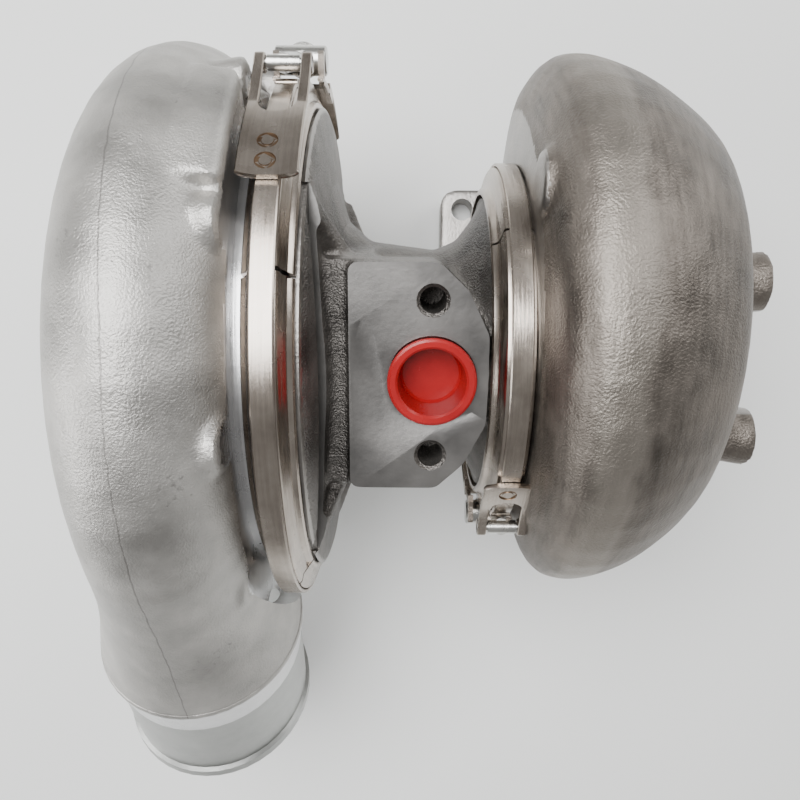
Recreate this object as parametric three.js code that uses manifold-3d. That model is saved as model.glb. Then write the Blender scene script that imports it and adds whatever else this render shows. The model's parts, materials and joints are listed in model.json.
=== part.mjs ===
// A diesel turbocharger with a V-band clamp at each end of its bearing housing.
// Millimetres, +Z up. The origin is the centre of the turbine inlet flange's face, on the wall between its
// two ports,
// and the turbocharger stands on that face with its oil drain upwards. X runs along the shaft, towards the
// turbine.
// The pieces are built round the shaft: x along it, and an angle in degrees from straight up (+Z) towards
// +Y.
import * as THREE from 'three';
import { mergeVertices } from 'three/addons/utils/BufferGeometryUtils.js';
import Module from 'manifold-3d';

const wasm = await Module();
wasm.setup();

const SHAFT_X = -80;
const SHAFT_Y = -30;
const SHAFT_Z = 104;
const GAP = 0.3;
const DRAIN_TURN = -13;

// compressor cover
const INLET_X = -112;
const SCROLL_X = -72;
const SCROLL_END = -40;
const SCROLL_BASE = 50;
const SCROLL_RADIUS = 33;
const SCROLL_WALL = 4.5;
const OUTLET_NECK = 36;
const OUTLET_RIM = 37.6;
const COVER_SLOT_X = -47.5;

// joints between the housings
const COMPRESSOR_JOINT_X = -37;
const COMPRESSOR_FLANGE = 88.5;
const TURBINE_JOINT_X = 36.5;
const TURBINE_FLANGE = 60;

// bearing housing and rotor
const DRAIN_FACE = 57;
const DRAIN_X = 9.6;
const DRAIN_BOLT = 25.4;
const PORT_RADIUS = 12.6;
const BEARING_BORE = 12.3;
const JOURNAL = 8;
const STUB = 4;
const SEAL_PLATE_FRONT = -40.1;

// turbine housing
const OUTLET_X = 118;
const TURBINE_BORE = 40;
const INLET_FLANGE_LENGTH = 122;
const INLET_FLANGE_WIDTH = 98;
const INLET_FLANGE_THICK = 14;
const INLET_BOLT_X = 50;
const INLET_BOLT_Y = 39;

const up = new THREE.Vector3(0, 0, 1);
const radians = THREE.MathUtils.degToRad;

const finish = (color, roughness, metalness) => new THREE.MeshStandardMaterial({ color, roughness,
  metalness });
const castAluminium = finish(0xbab6b0, 0.55, 0.75);
const castIron = finish(0x6f6a64, 0.7, 0.6);
const turbineIron = finish(0x7a7068, 0.75, 0.55);
const stainless = finish(0xa79d90, 0.3, 0.95);
const steel = finish(0x9a9a9a, 0.35, 0.9);
const machinedAluminium = finish(0xc9c9c9, 0.3, 0.95);
const alloy = finish(0x8a8078, 0.5, 0.85);
const bronze = finish(0xa57f45, 0.4, 0.9);
const rubber = finish(0x1c1c1c, 0.8, 0);
const redCap = finish(0xc93636, 0.45, 0);

const turbocharger = new THREE.Group();
const onShaft = new THREE.Group();
onShaft.position.set(SHAFT_X, SHAFT_Y, SHAFT_Z);
turbocharger.add(onShaft);

// A closed geometry as a solid, turned the right way out.
function solid(geometry) {
  const bare = geometry.clone();
  bare.deleteAttribute('normal');
  bare.deleteAttribute('uv');
  const merged = mergeVertices(bare, 1e-4);
  const corners = merged.index.array;
  const kept = [];
  for (let i = 0; i < corners.length; i += 3) {
    const [a, b, c] = [corners[i], corners[i + 1], corners[i + 2]];
    if (a !== b && b !== c && c !== a) kept.push(a, b, c);
  }
  const build = (triangles) => new wasm.Manifold(new wasm.Mesh({
    numProp: 3,
    vertProperties: merged.attributes.position.array,
    triVerts: new Uint32Array(triangles),
  }));
  const made = build(kept);
  return made.volume() < 0 ? build(kept.reverse()) : made;
}

function add(name, body, material) {
  const { vertProperties, triVerts } = body.getMesh();
  const geometry = new THREE.BufferGeometry();
  geometry.setAttribute('position', new THREE.BufferAttribute(new Float32Array(vertProperties), 3));
  geometry.setIndex(new THREE.BufferAttribute(new Uint32Array(triVerts), 1));
  const flat = geometry.toNonIndexed();
  flat.computeVertexNormals();
  const mesh = new THREE.Mesh(flat, material);
  mesh.name = name;
  onShaft.add(mesh);
}

// A solid of revolution about the shaft, from [x, radius] points.
function turned(profile, sides = 24) {
  const points = profile.map(([x, radius]) => new THREE.Vector2(radius, x));
  if (profile[0][1] > 0) points.push(points[0].clone());
  return solid(new THREE.LatheGeometry(points, sides).rotateZ(-Math.PI / 2));
}

const disc = (x0, x1, radius, sides) => turned([[x0, 0], [x0, radius], [x1, radius], [x1, 0]], sides);
const ring = (x0, x1, inner, outer, sides) => turned([[x0, inner], [x0, outer], [x1, outer],
  [x1, inner]], sides);

function block(x0, x1, y0, y1, z0, z1) {
  const box = new THREE.BoxGeometry(x1 - x0, y1 - y0, z1 - z0);
  return solid(box.translate((x0 + x1) / 2, (y0 + y1) / 2, (z0 + z1) / 2));
}

function rod(start, end, radius, sides = 10, endRadius = radius) {
  const along = end.clone().sub(start);
  const shape = new THREE.CylinderGeometry(endRadius, radius, along.length(), sides);
  shape.translate(0, along.length() / 2, 0);
  const turn = new THREE.Quaternion().setFromUnitVectors(new THREE.Vector3(0, 1, 0), along.normalize());
  return solid(shape.applyQuaternion(turn).translate(start.x, start.y, start.z));
}

// A closed skin through rings of points, with a fan over each end.
function loft(rings) {
  const count = rings[0].length;
  const points = rings.flat();
  const faces = [];
  for (let i = 0; i < rings.length - 1; i += 1) {
    for (let j = 0; j < count; j += 1) {
      const next = (j + 1) % count;
      const [a, b] = [i * count + j, i * count + next];
      faces.push(a, b, b + count, a, b + count, a + count);
    }
  }
  for (const [first, flip] of [[0, true], [(rings.length - 1) * count, false]]) {
    const middle = new THREE.Vector3();
    for (let j = 0; j < count; j += 1) middle.addScaledVector(points[first + j], 1 / count);
    points.push(middle);
    for (let j = 0; j < count; j += 1) {
      const pair = [first + j, first + ((j + 1) % count)];
      faces.push(points.length - 1, ...(flip ? pair.reverse() : pair));
    }
  }
  const geometry = new THREE.BufferGeometry().setFromPoints(points);
  geometry.setIndex(faces);
  return solid(geometry);
}

// A point at a distance along the shaft, a radius and an angle.
function around(x, radius, angle) {
  return new THREE.Vector3(x, radius * Math.sin(radians(angle)), radius * Math.cos(radians(angle)));
}

// An outline in the plane across the shaft, drawn as [y, z] points and given a width along x.
function slab(outline, x0, x1) {
  const shape = new THREE.Shape(outline.map(([y, z]) => new THREE.Vector2(y, z)));
  const geometry = new THREE.ExtrudeGeometry(shape, { depth: x1 - x0, bevelEnabled: false });
  const place = new THREE.Matrix4().makeBasis(
    new THREE.Vector3(0, 1, 0),
    up,
    new THREE.Vector3(1, 0, 0),
  );
  return solid(geometry.applyMatrix4(place).translate(x0, 0, 0));
}

const turnAbout = (body, angle) => body.rotate([-angle, 0, 0]);

// A wedge of a circle round the shaft between two angles, used to cut rings into arcs.
function wedge(x0, x1, radius, from, to) {
  const steps = Math.ceil((to - from) / 30);
  const outline = [[0, 0]];
  for (let i = 0; i <= steps; i += 1) {
    const point = around(0, radius * 1.1, from + ((to - from) * i) / steps);
    outline.push([point.y, point.z]);
  }
  return slab(outline.reverse(), x0, x1);
}

// ---- compressor cover: a cast scroll that grows round the wheel and leaves as a straight outlet pipe

function scrollSection(turn, wall) {
  const radius = Math.max(SCROLL_RADIUS * Math.sqrt(turn), 11);
  const across = Math.min(0.9 * radius, 25.5) - wall;
  return { centre: SCROLL_BASE + radius, tall: radius - wall, across };
}

function ovalRing(centre, outwards, across, tall, sides = 12) {
  const points = [];
  for (let i = 0; i < sides; i += 1) {
    const angle = (2 * Math.PI * i) / sides;
    const point = centre.clone();
    point.x += across * Math.sin(angle);
    point.addScaledVector(outwards, tall * Math.cos(angle));
    points.push(point);
  }
  return points;
}

function scrollRings(wall) {
  const rings = [];
  for (let turn = 0.06; turn < 0.97; turn += 0.07) {
    const { centre, tall, across } = scrollSection(turn, wall);
    const angle = SCROLL_END - 360 * turn;
    rings.push(ovalRing(around(SCROLL_X, centre, angle), around(0, 1, angle), across, tall));
  }
  return rings;
}

// Rings along the straight pipe: distance from the scroll's end, shift along x, half width and half height.
function pipeRings(stations, wall) {
  const outwards = around(0, 1, SCROLL_END);
  const along = around(0, 1, SCROLL_END - 90);
  return stations.map(([distance, shift, across, tall]) => {
    const radius = SCROLL_BASE + SCROLL_RADIUS - 3 * Math.min(distance / 88, 1);
    const centre = around(SCROLL_X + shift, radius, SCROLL_END).addScaledVector(along, distance);
    return ovalRing(centre, outwards, across - wall, tall - wall);
  });
}

function compressorCover() {
  const neck = [[0, 0, 25.5, 33], [40, -0.5, 26.5, 33.5], [66, -1.2, 30.5, 34.5], [78, -2, 35, 35.5]];
  const collar = [[82, -2.2, 38, 38], [88, -2.5, 38.5, 38.5], [89, -2.5, OUTLET_NECK, OUTLET_NECK]];
  const spigot = [[123, -4, OUTLET_NECK, OUTLET_NECK], [124, -4, OUTLET_RIM, OUTLET_RIM],
    [128, -4.2, OUTLET_RIM, OUTLET_RIM]];
  const bore = [...neck, [88, -2.5, 36, 36], [130, -4.2, 36.5, 36.5]];
  const outside = loft([...scrollRings(0), ...pipeRings([...neck, ...collar, ...spigot], 0)]);
  const inside = loft([...scrollRings(SCROLL_WALL), ...pipeRings(bore, SCROLL_WALL)]);
  const drum = turned([
    [INLET_X, 0], [INLET_X, 48.5], [INLET_X + 7, 48.5], [INLET_X + 8, 46.5], [-92, 48], [-84, 65],
      [-72, 83], [-62, 90], [COVER_SLOT_X, 90], [COVER_SLOT_X, 0],
  ]);
  const clampRoom = ring(COVER_SLOT_X, -20, 84, 99.5);
  const edge = COMPRESSOR_JOINT_X - GAP / 2;
  const flange = turned([
    [COVER_SLOT_X - 1, 76], [COVER_SLOT_X - 1, 84], [edge - 5.2, 84],
    [edge - 3.9, COMPRESSOR_FLANGE], [edge, COMPRESSOR_FLANGE], [edge, 76],
  ]);
  let cover = outside.add(drum);
  for (let i = 0; i < 12; i += 1) {
    const angle = 46 + 30 * i;
    cover = cover.add(rod(around(-64, 90.5, angle), around(COVER_SLOT_X, 92, angle), 6, 6, 7.5));
  }
  const padRing = turned([[-64, 80], [-64, 104], [-58, 105], [COVER_SLOT_X, 101], [COVER_SLOT_X, 80]]);
  cover = cover.add(padRing.intersect(wedge(-70, -40, 110, 23, 48)));
  cover = cover.subtract(clampRoom).add(flange);
  const wheelRoom = turned([
    [INLET_X - 1, 0], [INLET_X - 1, 43], [-88, 32.6], [-70, 32.6], [-60, 34.9], [-52.4, 39.7],
    [-45, 48.4], [-45, 60], [-50, 62], [-68, 62], [-68, 74], [-50, 76],
    [-45, 79.4], [-30, 79.4], [-30, 0],
  ]);
  const groove = ring(edge - 4.2, edge - 1.6, 79, 81.4);
  return cover.subtract(inside).subtract(wheelRoom).subtract(groove);
}
add('compressor_cover', compressorCover(), castAluminium);

const coverSeal = ring(COMPRESSOR_JOINT_X - 3.9, COMPRESSOR_JOINT_X - 2.1, 79.3, 81);
add('cover_o_ring', coverSeal, rubber);

// ---- seal plate behind the compressor wheel, held by four countersunk screws

const PLATE_BACK = COMPRESSOR_JOINT_X - 0.1;
const PLATE_SCREW_RADIUS = 38;

function screwAt(angle, clearance) {
  const grow = clearance ? 0.4 : 0;
  const head = rod(
    around(SEAL_PLATE_FRONT - grow, PLATE_SCREW_RADIUS, angle),
    around(-37.6 + grow, PLATE_SCREW_RADIUS, angle), 4.4 + grow, 8, 2.4 + grow,
  );
  const shank = rod(
    around(-38.2, PLATE_SCREW_RADIUS, angle), around(-26 + 2 * grow, PLATE_SCREW_RADIUS, angle),
      2.4 + grow, 8,
  );
  return head.add(shank);
}

function sealPlate() {
  let plate = turned([
    [SEAL_PLATE_FRONT, 9.9], [SEAL_PLATE_FRONT, 79], [PLATE_BACK, 79], [PLATE_BACK, 29.6],
    [-34, 29.6], [-34, 9.9],
  ]);
  for (let i = 0; i < 4; i += 1) plate = plate.subtract(screwAt(45 + 90 * i, true));
  return plate.subtract(ring(-35.9, -34.8, 27.9, 31));
}
add('seal_plate', sealPlate(), machinedAluminium);
add('seal_plate_o_ring', ring(-35.8, -34.9, 28.1, 29.7), rubber);
for (let i = 0; i < 4; i += 1) {
  const socket = rod(
    around(-41, PLATE_SCREW_RADIUS, 45 + 90 * i), around(-39, PLATE_SCREW_RADIUS, 45 + 90 * i), 2, 6,
  );
  add(`seal_plate_screw_${i + 1}`, screwAt(45 + 90 * i, false).subtract(socket), steel);
}
add('oil_baffle', ring(-32.9, -32.2, 9.8, 28), steel);
add('compressor_piston_ring', ring(-36.7, -35.9, 8.6, 9.5, 14), steel);

// ---- bearing housing: cast iron, with the oil drain on top and the oil inlet underneath

function drainBlock() {
  const outline = [[-16.7, -37], [11.5, -37], [20.5, -28.5], [27.4, -14.5], [27.4, 14.5], [20.5, 28.5],
    [11.5, 37], [-16.7, 37]];
  const shape = new THREE.Shape(outline.map(([x, y]) => new THREE.Vector2(x, y)));
  const face = new THREE.ExtrudeGeometry(shape, { depth: 40, bevelEnabled: false });
  const machined = solid(face.translate(0, 0, DRAIN_FACE - 40));
  const saddle = block(-30, -16, -36, 36, 10, DRAIN_FACE - 3.5);
  return machined.add(saddle);
}

function rib(angle) {
  const shape = new THREE.Shape([[-30, 30], [-30, 83], [-27, 83], [-14, 40],
    [-14, 30]].map(([x, z]) => new THREE.Vector2(x, z)));
  const geometry = new THREE.ExtrudeGeometry(shape, { depth: 7, bevelEnabled: false });
  return turnAbout(solid(geometry.translate(0, 0, -3.5).rotateX(Math.PI / 2)), angle);
}

function bearingHousing() {
  const compressorEdge = COMPRESSOR_JOINT_X + GAP / 2;
  const turbineEdge = TURBINE_JOINT_X - GAP / 2;
  let housing = turned([
    [compressorEdge, 0], [compressorEdge, COMPRESSOR_FLANGE], [compressorEdge + 3.9, COMPRESSOR_FLANGE],
    [compressorEdge + 5.2, 84], [-28, 84], [-26.5, 80], [-24.5, 58], [-20, 46], [-12, 38], [12, 35],
    [20, 39], [26, 47], [28.8, 55.5], [turbineEdge - 5.2, 55.5], [turbineEdge - 3.9, TURBINE_FLANGE],
    [turbineEdge, TURBINE_FLANGE], [turbineEdge, 54.5], [34.4, 54.5], [34.4, 16], [35.6, 15.5], [35.6, 0],
  ]);
  housing = housing.add(turnAbout(drainBlock(), DRAIN_TURN));
  housing = housing.add(rib(30)).add(rib(-56));
  const oilBoss = rod(around(0, 10, DRAIN_TURN + 180), around(0, 46, DRAIN_TURN + 180), 15, 12, 14);
  housing = housing.add(oilBoss);
  const cavity = turned([
    [-40, 0], [-40, 30.4], [-30.6, 30.4], [-30.6, 25], [-26.4, 25], [-26.4, 14.2], [-24, 14.2],
    [-24, BEARING_BORE], [-13.1, BEARING_BORE], [-13.1, 13.8], [-11.3, 13.8], [-11.3, 24], [11.3, 24],
    [11.3, 13.8], [13.1, 13.8], [13.1, BEARING_BORE], [24, BEARING_BORE], [24, 13.8], [25.8, 13.8],
    [25.8, 11.6], [40, 11.6], [40, 0],
  ], 20);
  housing = housing.subtract(cavity);
  const drain = [
    rod(new THREE.Vector3(DRAIN_X, 0, 15), new THREE.Vector3(DRAIN_X, 0, DRAIN_FACE + 1), PORT_RADIUS, 20),
    rod(new THREE.Vector3(DRAIN_X, 0, DRAIN_FACE - 2), new THREE.Vector3(DRAIN_X, 0, DRAIN_FACE + 0.1),
      PORT_RADIUS, 20, 15),
    rod(new THREE.Vector3(DRAIN_X, DRAIN_BOLT, 37), new THREE.Vector3(DRAIN_X, DRAIN_BOLT,
      DRAIN_FACE + 1), 4.6, 10),
    rod(new THREE.Vector3(DRAIN_X, -DRAIN_BOLT, 37), new THREE.Vector3(DRAIN_X, -DRAIN_BOLT,
      DRAIN_FACE + 1), 4.6, 10),
  ];
  for (const hole of drain) housing = housing.subtract(turnAbout(hole, DRAIN_TURN));
  housing = housing.subtract(rod(around(0, 34, DRAIN_TURN + 180), around(0, 47, DRAIN_TURN + 180), 6.5,
    12));
  housing = housing.subtract(rod(around(0, 20, DRAIN_TURN + 180), around(0, 35, DRAIN_TURN + 180), 3, 10));
  for (let i = 0; i < 4; i += 1) housing = housing.subtract(screwAt(45 + 90 * i, true));
  for (let i = 0; i < 3; i += 1) housing = housing.subtract(thrustScrew(120 * i, true));
  return housing;
}

// ---- thrust bearing and its three screws

function thrustScrew(angle, clearance) {
  const grow = clearance ? 0.35 : 0;
  const shank = rod(around(-29.6, 19.5, angle), around(-21 + grow, 19.5, angle), 1.7 + grow, 8);
  return clearance ? shank : shank.add(rod(around(-31, 19.5, angle), around(-29.4, 19.5, angle), 3, 6));
}

function thrustBearing() {
  let plate = ring(-29, -26.8, 7.2, 24.3, 20);
  for (let i = 0; i < 3; i += 1) plate = plate.subtract(thrustScrew(120 * i, true));
  return plate;
}
add('bearing_housing', bearingHousing(), castIron);
add('thrust_bearing', thrustBearing(), bronze);
for (let i = 0; i < 3; i += 1) add(`thrust_bearing_screw_${i + 1}`, thrustScrew(120 * i, false), steel);

// ---- floating journal bearings and the snap rings beside them

function journalBearing(x0, x1) {
  let sleeve = ring(x0, x1, 8.6, 11.7, 16);
  for (let i = 0; i < 4; i += 1) {
    const middle = (x0 + x1) / 2;
    sleeve = sleeve.subtract(rod(around(middle, 6, 90 * i), around(middle, 13, 90 * i), 1.3, 6));
  }
  return sleeve;
}
add('compressor_journal_bearing', journalBearing(-23.6, -13.6), bronze);
add('turbine_journal_bearing', journalBearing(13.6, 23.6), bronze);

const snapRing = (x0, x1) => ring(x0, x1, 10.4, 13.2, 14).subtract(block(x0 - 1, x1 + 1, -2.5, 2.5, -16,
  -8));
add('compressor_snap_ring', snapRing(-12.8, -11.6), steel);
add('turbine_inner_snap_ring', snapRing(11.6, 12.8), steel);
add('turbine_outer_snap_ring', snapRing(24.3, 25.5), steel);
add('turbine_piston_ring', ring(30.2, 31.2, 9.9, 11.2, 14), steel);

// ---- heat shield between the bearing housing and the turbine wheel

const shieldProfile = [
  [34.8, 46.3], [34.8, 54], [36.1, 54], [36.1, 47.2], [38, 46], [38, 12.4], [37.1, 12.4], [37.1, 44.8],
];
add('heat_shield', turned(shieldProfile), stainless);

// ---- turbine housing: a twin scroll that stands on its inlet flange

// Outlines of the scroll's skin, as [x, radius], where it starts, a half turn later, and at its tongue.
const SCROLL_START = [[46.5, 52], [41.5, 84], [48, 101], [58, 105], [77, 100], [91, 92.5], [105, 83],
  [113, 74], [117.5, 62], [113, 45]];
const SCROLL_HALF = [[46.5, 52], [46.5, 74], [50, 85], [58, 88], [71, 86], [85, 79], [97, 70], [104, 62],
  [109, 54], [111, 45]];
const SCROLL_TONGUE = [[46.5, 52], [46.5, 66], [50, 75], [57, 78], [70, 76], [84, 70], [95, 62],
  [102, 56], [107, 50], [108, 43]];
// The duct's outline at the inlet flange, as [x, y from the shaft].
const DUCT_FOOT = [[46, 2], [43, 28], [45, 54], [52, 61], [72, 63], [92, 63], [110, 61], [116, 54],
  [118, 28], [114, 0]];
const FOOT_Z = 8 - SHAFT_Z;

const mix = (from, to, share) => from.map(([a, b], i) => [
  a + (to[i][0] - a) * share,
  b + (to[i][1] - b) * share,
]);

// An outline moved inwards by a wall's thickness.
function inset(outline, wall) {
  const [cx, cy] = [0, 1].map((k) => outline.reduce((sum, point) => sum + point[k], 0) / outline.length);
  return outline.map(([x, y]) => {
    const reach = Math.hypot(x - cx, y - cy);
    const keep = (reach - wall * 1.15) / reach;
    return [cx + (x - cx) * keep, cy + (y - cy) * keep];
  });
}

function turbineRings(foot, start, half, tongue, endTurn) {
  const rings = [];
  for (const share of [0, 0.34, 0.67]) {
    const curve = share * share * (3 - 2 * share);
    rings.push(mix(foot, start, curve).map(([x, y]) => new THREE.Vector3(x, y, FOOT_Z * (1 - share))));
  }
  for (let turn = 0; turn <= endTurn; turn += 22.5) {
    const outline = turn < 180 ? mix(start, half, turn / 180) : mix(half, tongue, (turn - 180) / 90);
    rings.push(outline.map(([x, radius]) => around(x, radius, 90 - turn)));
  }
  return rings;
}

function turbineHousing() {
  const skin = loft(turbineRings(DUCT_FOOT, SCROLL_START, SCROLL_HALF, SCROLL_TONGUE, 270));
  const wall = 6;
  const shrink = [DUCT_FOOT, SCROLL_START, SCROLL_HALF, SCROLL_TONGUE].map((outline) => inset(outline,
    wall));
  let hollow = loft(turbineRings(...shrink, 247.5));
  const [footX, footY] = [-SHAFT_X, -SHAFT_Y];
  const mouth = block(footX - 33, footX + 33, footY - 25, footY + 25, -SHAFT_Z - 1, FOOT_Z + 3);
  const divider = turbineRings(
    [[77.5, -12], [77.5, 76], [82.5, 76], [82.5, -12]],
    [[50.5, 54], [74, 115], [80, 115], [56, 51.5]],
    [[50.5, 54], [66, 98], [72, 98], [56, 51.5]],
    [[50.5, 54], [64, 88], [70, 88], [56, 51.5]],
    270,
  );
  hollow = hollow.add(mouth).subtract(block(footX - 2.5, footX + 2.5, -20, 80, -SHAFT_Z - 2, FOOT_Z + 1));
  const edge = TURBINE_JOINT_X + GAP / 2;
  const core = turned([
    [edge, 0], [edge, TURBINE_FLANGE], [edge + 3.9, TURBINE_FLANGE], [edge + 5.2, 55.5], [edge + 9.5, 55.5],
    [52, 62], [98, 58], [110, 50], [114, 45], [OUTLET_X, 45], [OUTLET_X, 0],
  ]);
  const plate = block(
    footX - INLET_FLANGE_LENGTH / 2, footX + INLET_FLANGE_LENGTH / 2,
    footY - INLET_FLANGE_WIDTH / 2, footY + INLET_FLANGE_WIDTH / 2,
    -SHAFT_Z, INLET_FLANGE_THICK - SHAFT_Z,
  );
  let housing = skin.add(core).add(plate);
  for (const angle of [-42, 24, 138, 204]) {
    const lug = rod(around(OUTLET_X - 12, 43.5, angle), around(OUTLET_X, 43.5, angle), 9.5, 12);
    housing = housing.add(lug);
  }
  housing = housing.add(rod(around(41, 80, 36), around(52, 80, 36), 9, 12));
  const wheelRoom = turned([
    [edge - 1, 0], [edge - 1, 48], [50, 48], [50, 44], [56, 41.3], [64, 38.2],
    [74, 36.7], [90, 37], [OUTLET_X + 1, TURBINE_BORE], [OUTLET_X + 1, 0],
  ]);
  const nozzle = turned([[39.4, 42], [39.4, 50], [48, 51], [48, 60], [62, 60], [62, 53], [50, 44]]);
  housing = housing.subtract(hollow.add(nozzle).subtract(loft(divider))).subtract(wheelRoom);
  for (const angle of [-42, 24, 138, 204]) {
    housing = housing.subtract(rod(around(OUTLET_X - 10, 45.5, angle), around(OUTLET_X + 1, 45.5, angle),
      3.6, 10));
  }
  for (const [sx, sy] of [[-1, -1], [-1, 1], [1, -1], [1, 1]]) {
    const [x, y] = [footX + sx * INLET_BOLT_X, footY + sy * INLET_BOLT_Y];
    const hole = rod(new THREE.Vector3(x, y, -SHAFT_Z - 1), new THREE.Vector3(x, y, -SHAFT_Z + 15), 5.5,
      12);
    housing = housing.subtract(hole);
  }
  return housing;
}
add('turbine_housing', turbineHousing(), turbineIron);

// ---- rotor: the turbine wheel is welded to the shaft, and the rest is clamped on it by the nut

// A flat blade from an outline of [x, radius] points, pitched about its own radius and turned to its place.
function blade(outline, thick, pitch, angle) {
  const middle = (outline[0][0] + outline[outline.length - 1][0]) / 2;
  const shape = new THREE.Shape(outline.map(([x, radius]) => new THREE.Vector2(x - middle, radius)));
  const plate = new THREE.ExtrudeGeometry(shape, { depth: thick, bevelEnabled: false });
  plate.translate(0, 0, -thick / 2).rotateX(Math.PI / 2).rotateZ(radians(pitch)).translate(middle, 0, 0);
  return turnAbout(solid(plate), angle);
}

function compressorWheel() {
  let wheel = turned([
    [-86, 4.4], [-86, 8], [-78, 9.4], [-68, 12.5], [-58, 18.5], [-50, 28], [-44.5, 38], [-42.2, 46],
    [-41, 46], [-41, 4.4],
  ], 24);
  const long = [
    [-84.6, 4], [-84, 30.6], [-71, 30.9], [-60, 33], [-51, 38], [-45.4, 45], [-42.4, 45],
    [-42.4, 40], [-50, 24], [-58, 15], [-70, 9],
  ];
  const short = [[-70, 9], [-71, 30.9], [-60, 33], [-51, 38], [-45.4, 45], [-42.4, 45], [-42.4, 40],
    [-50, 24], [-58, 15]];
  for (let i = 0; i < 6; i += 1) {
    wheel = wheel.add(blade(long, 1.3, 14, 60 * i)).add(blade(short, 1.3, 14, 60 * i + 30));
  }
  return wheel.subtract(disc(-90, -30, 4.4, 16));
}
add('compressor_wheel', compressorWheel(), machinedAluminium);

const hexagon = rod(new THREE.Vector3(-91.6, 0, 0), new THREE.Vector3(-86.3, 0, 0), 7.5, 6);
add('shaft_nut', hexagon.subtract(disc(-95, -85, 4.4, 16)), steel);

function sealSleeve() {
  return turned([[-40.7, 4.35], [-40.7, 9.2], [-37.1, 9.2], [-37.1, 8], [-35.5, 8], [-35.5, 9.2],
    [-31, 9.2], [-31, 4.35]], 20);
}
add('seal_sleeve', sealSleeve(), steel);
add('thrust_collar', turned([[-30.7, 4.35], [-30.7, 13], [-29.4, 13], [-29.4, 6.5], [-26.7, 6.5],
  [-26.7, 4.35]], 20), steel);
add('thrust_washer', ring(-26.4, -24.3, 4.35, 13, 20), steel);

function turbineWheelAndShaft() {
  let rotor = turned([
    [-95, 0], [-95, STUB - 0.4], [-94.6, STUB], [-24, STUB], [-24, JOURNAL], [25.9, JOURNAL],
    [26.3, 10.6], [29.8, 10.6], [29.8, 9.3], [31.6, 9.3], [31.6, 10.6], [36.5, 10.6], [38.7, 12],
    [38.7, 36], [40, 36.5], [46, 24], [56, 15.5], [68, 11.5], [79, 8], [79, 0],
  ], 20);
  const outline = [
    [39.2, 28], [40, 42.2], [49, 42], [60, 37.2], [71, 35], [70, 6], [60, 9], [50, 14], [44, 22],
  ];
  for (let i = 0; i < 10; i += 1) rotor = rotor.add(blade(outline, 1.7, 12, 36 * i));
  return rotor;
}
add('turbine_wheel_and_shaft', turbineWheelAndShaft(), alloy);

// ---- V-band clamps: V-shaped segments in a strap, closed by a bolt between a fork and a pair of hooks

const LATCH_HALF = 8.8;
const PLATE = 1.8;
const BOLT = 3.2;

// An outline point at a radius and angle, then along and out from there, as [y, z]; side is 1 or -1 for
// the turn's sense.
function spot(radius, angle, side, along = 0, outwards = 0) {
  const base = around(0, radius + outwards, side * angle);
  base.addScaledVector(around(0, 1, side * (angle + 90)), along);
  return [base.y, base.z];
}

function arcBand(radius, thick, from, to, side, steps) {
  const outer = [];
  const inner = [];
  for (let i = 0; i <= steps; i += 1) {
    const angle = from + ((to - from) * i) / steps;
    outer.push(spot(radius + thick, angle, side));
    inner.unshift(spot(radius, angle, side));
  }
  return [...outer, ...inner];
}

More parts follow.
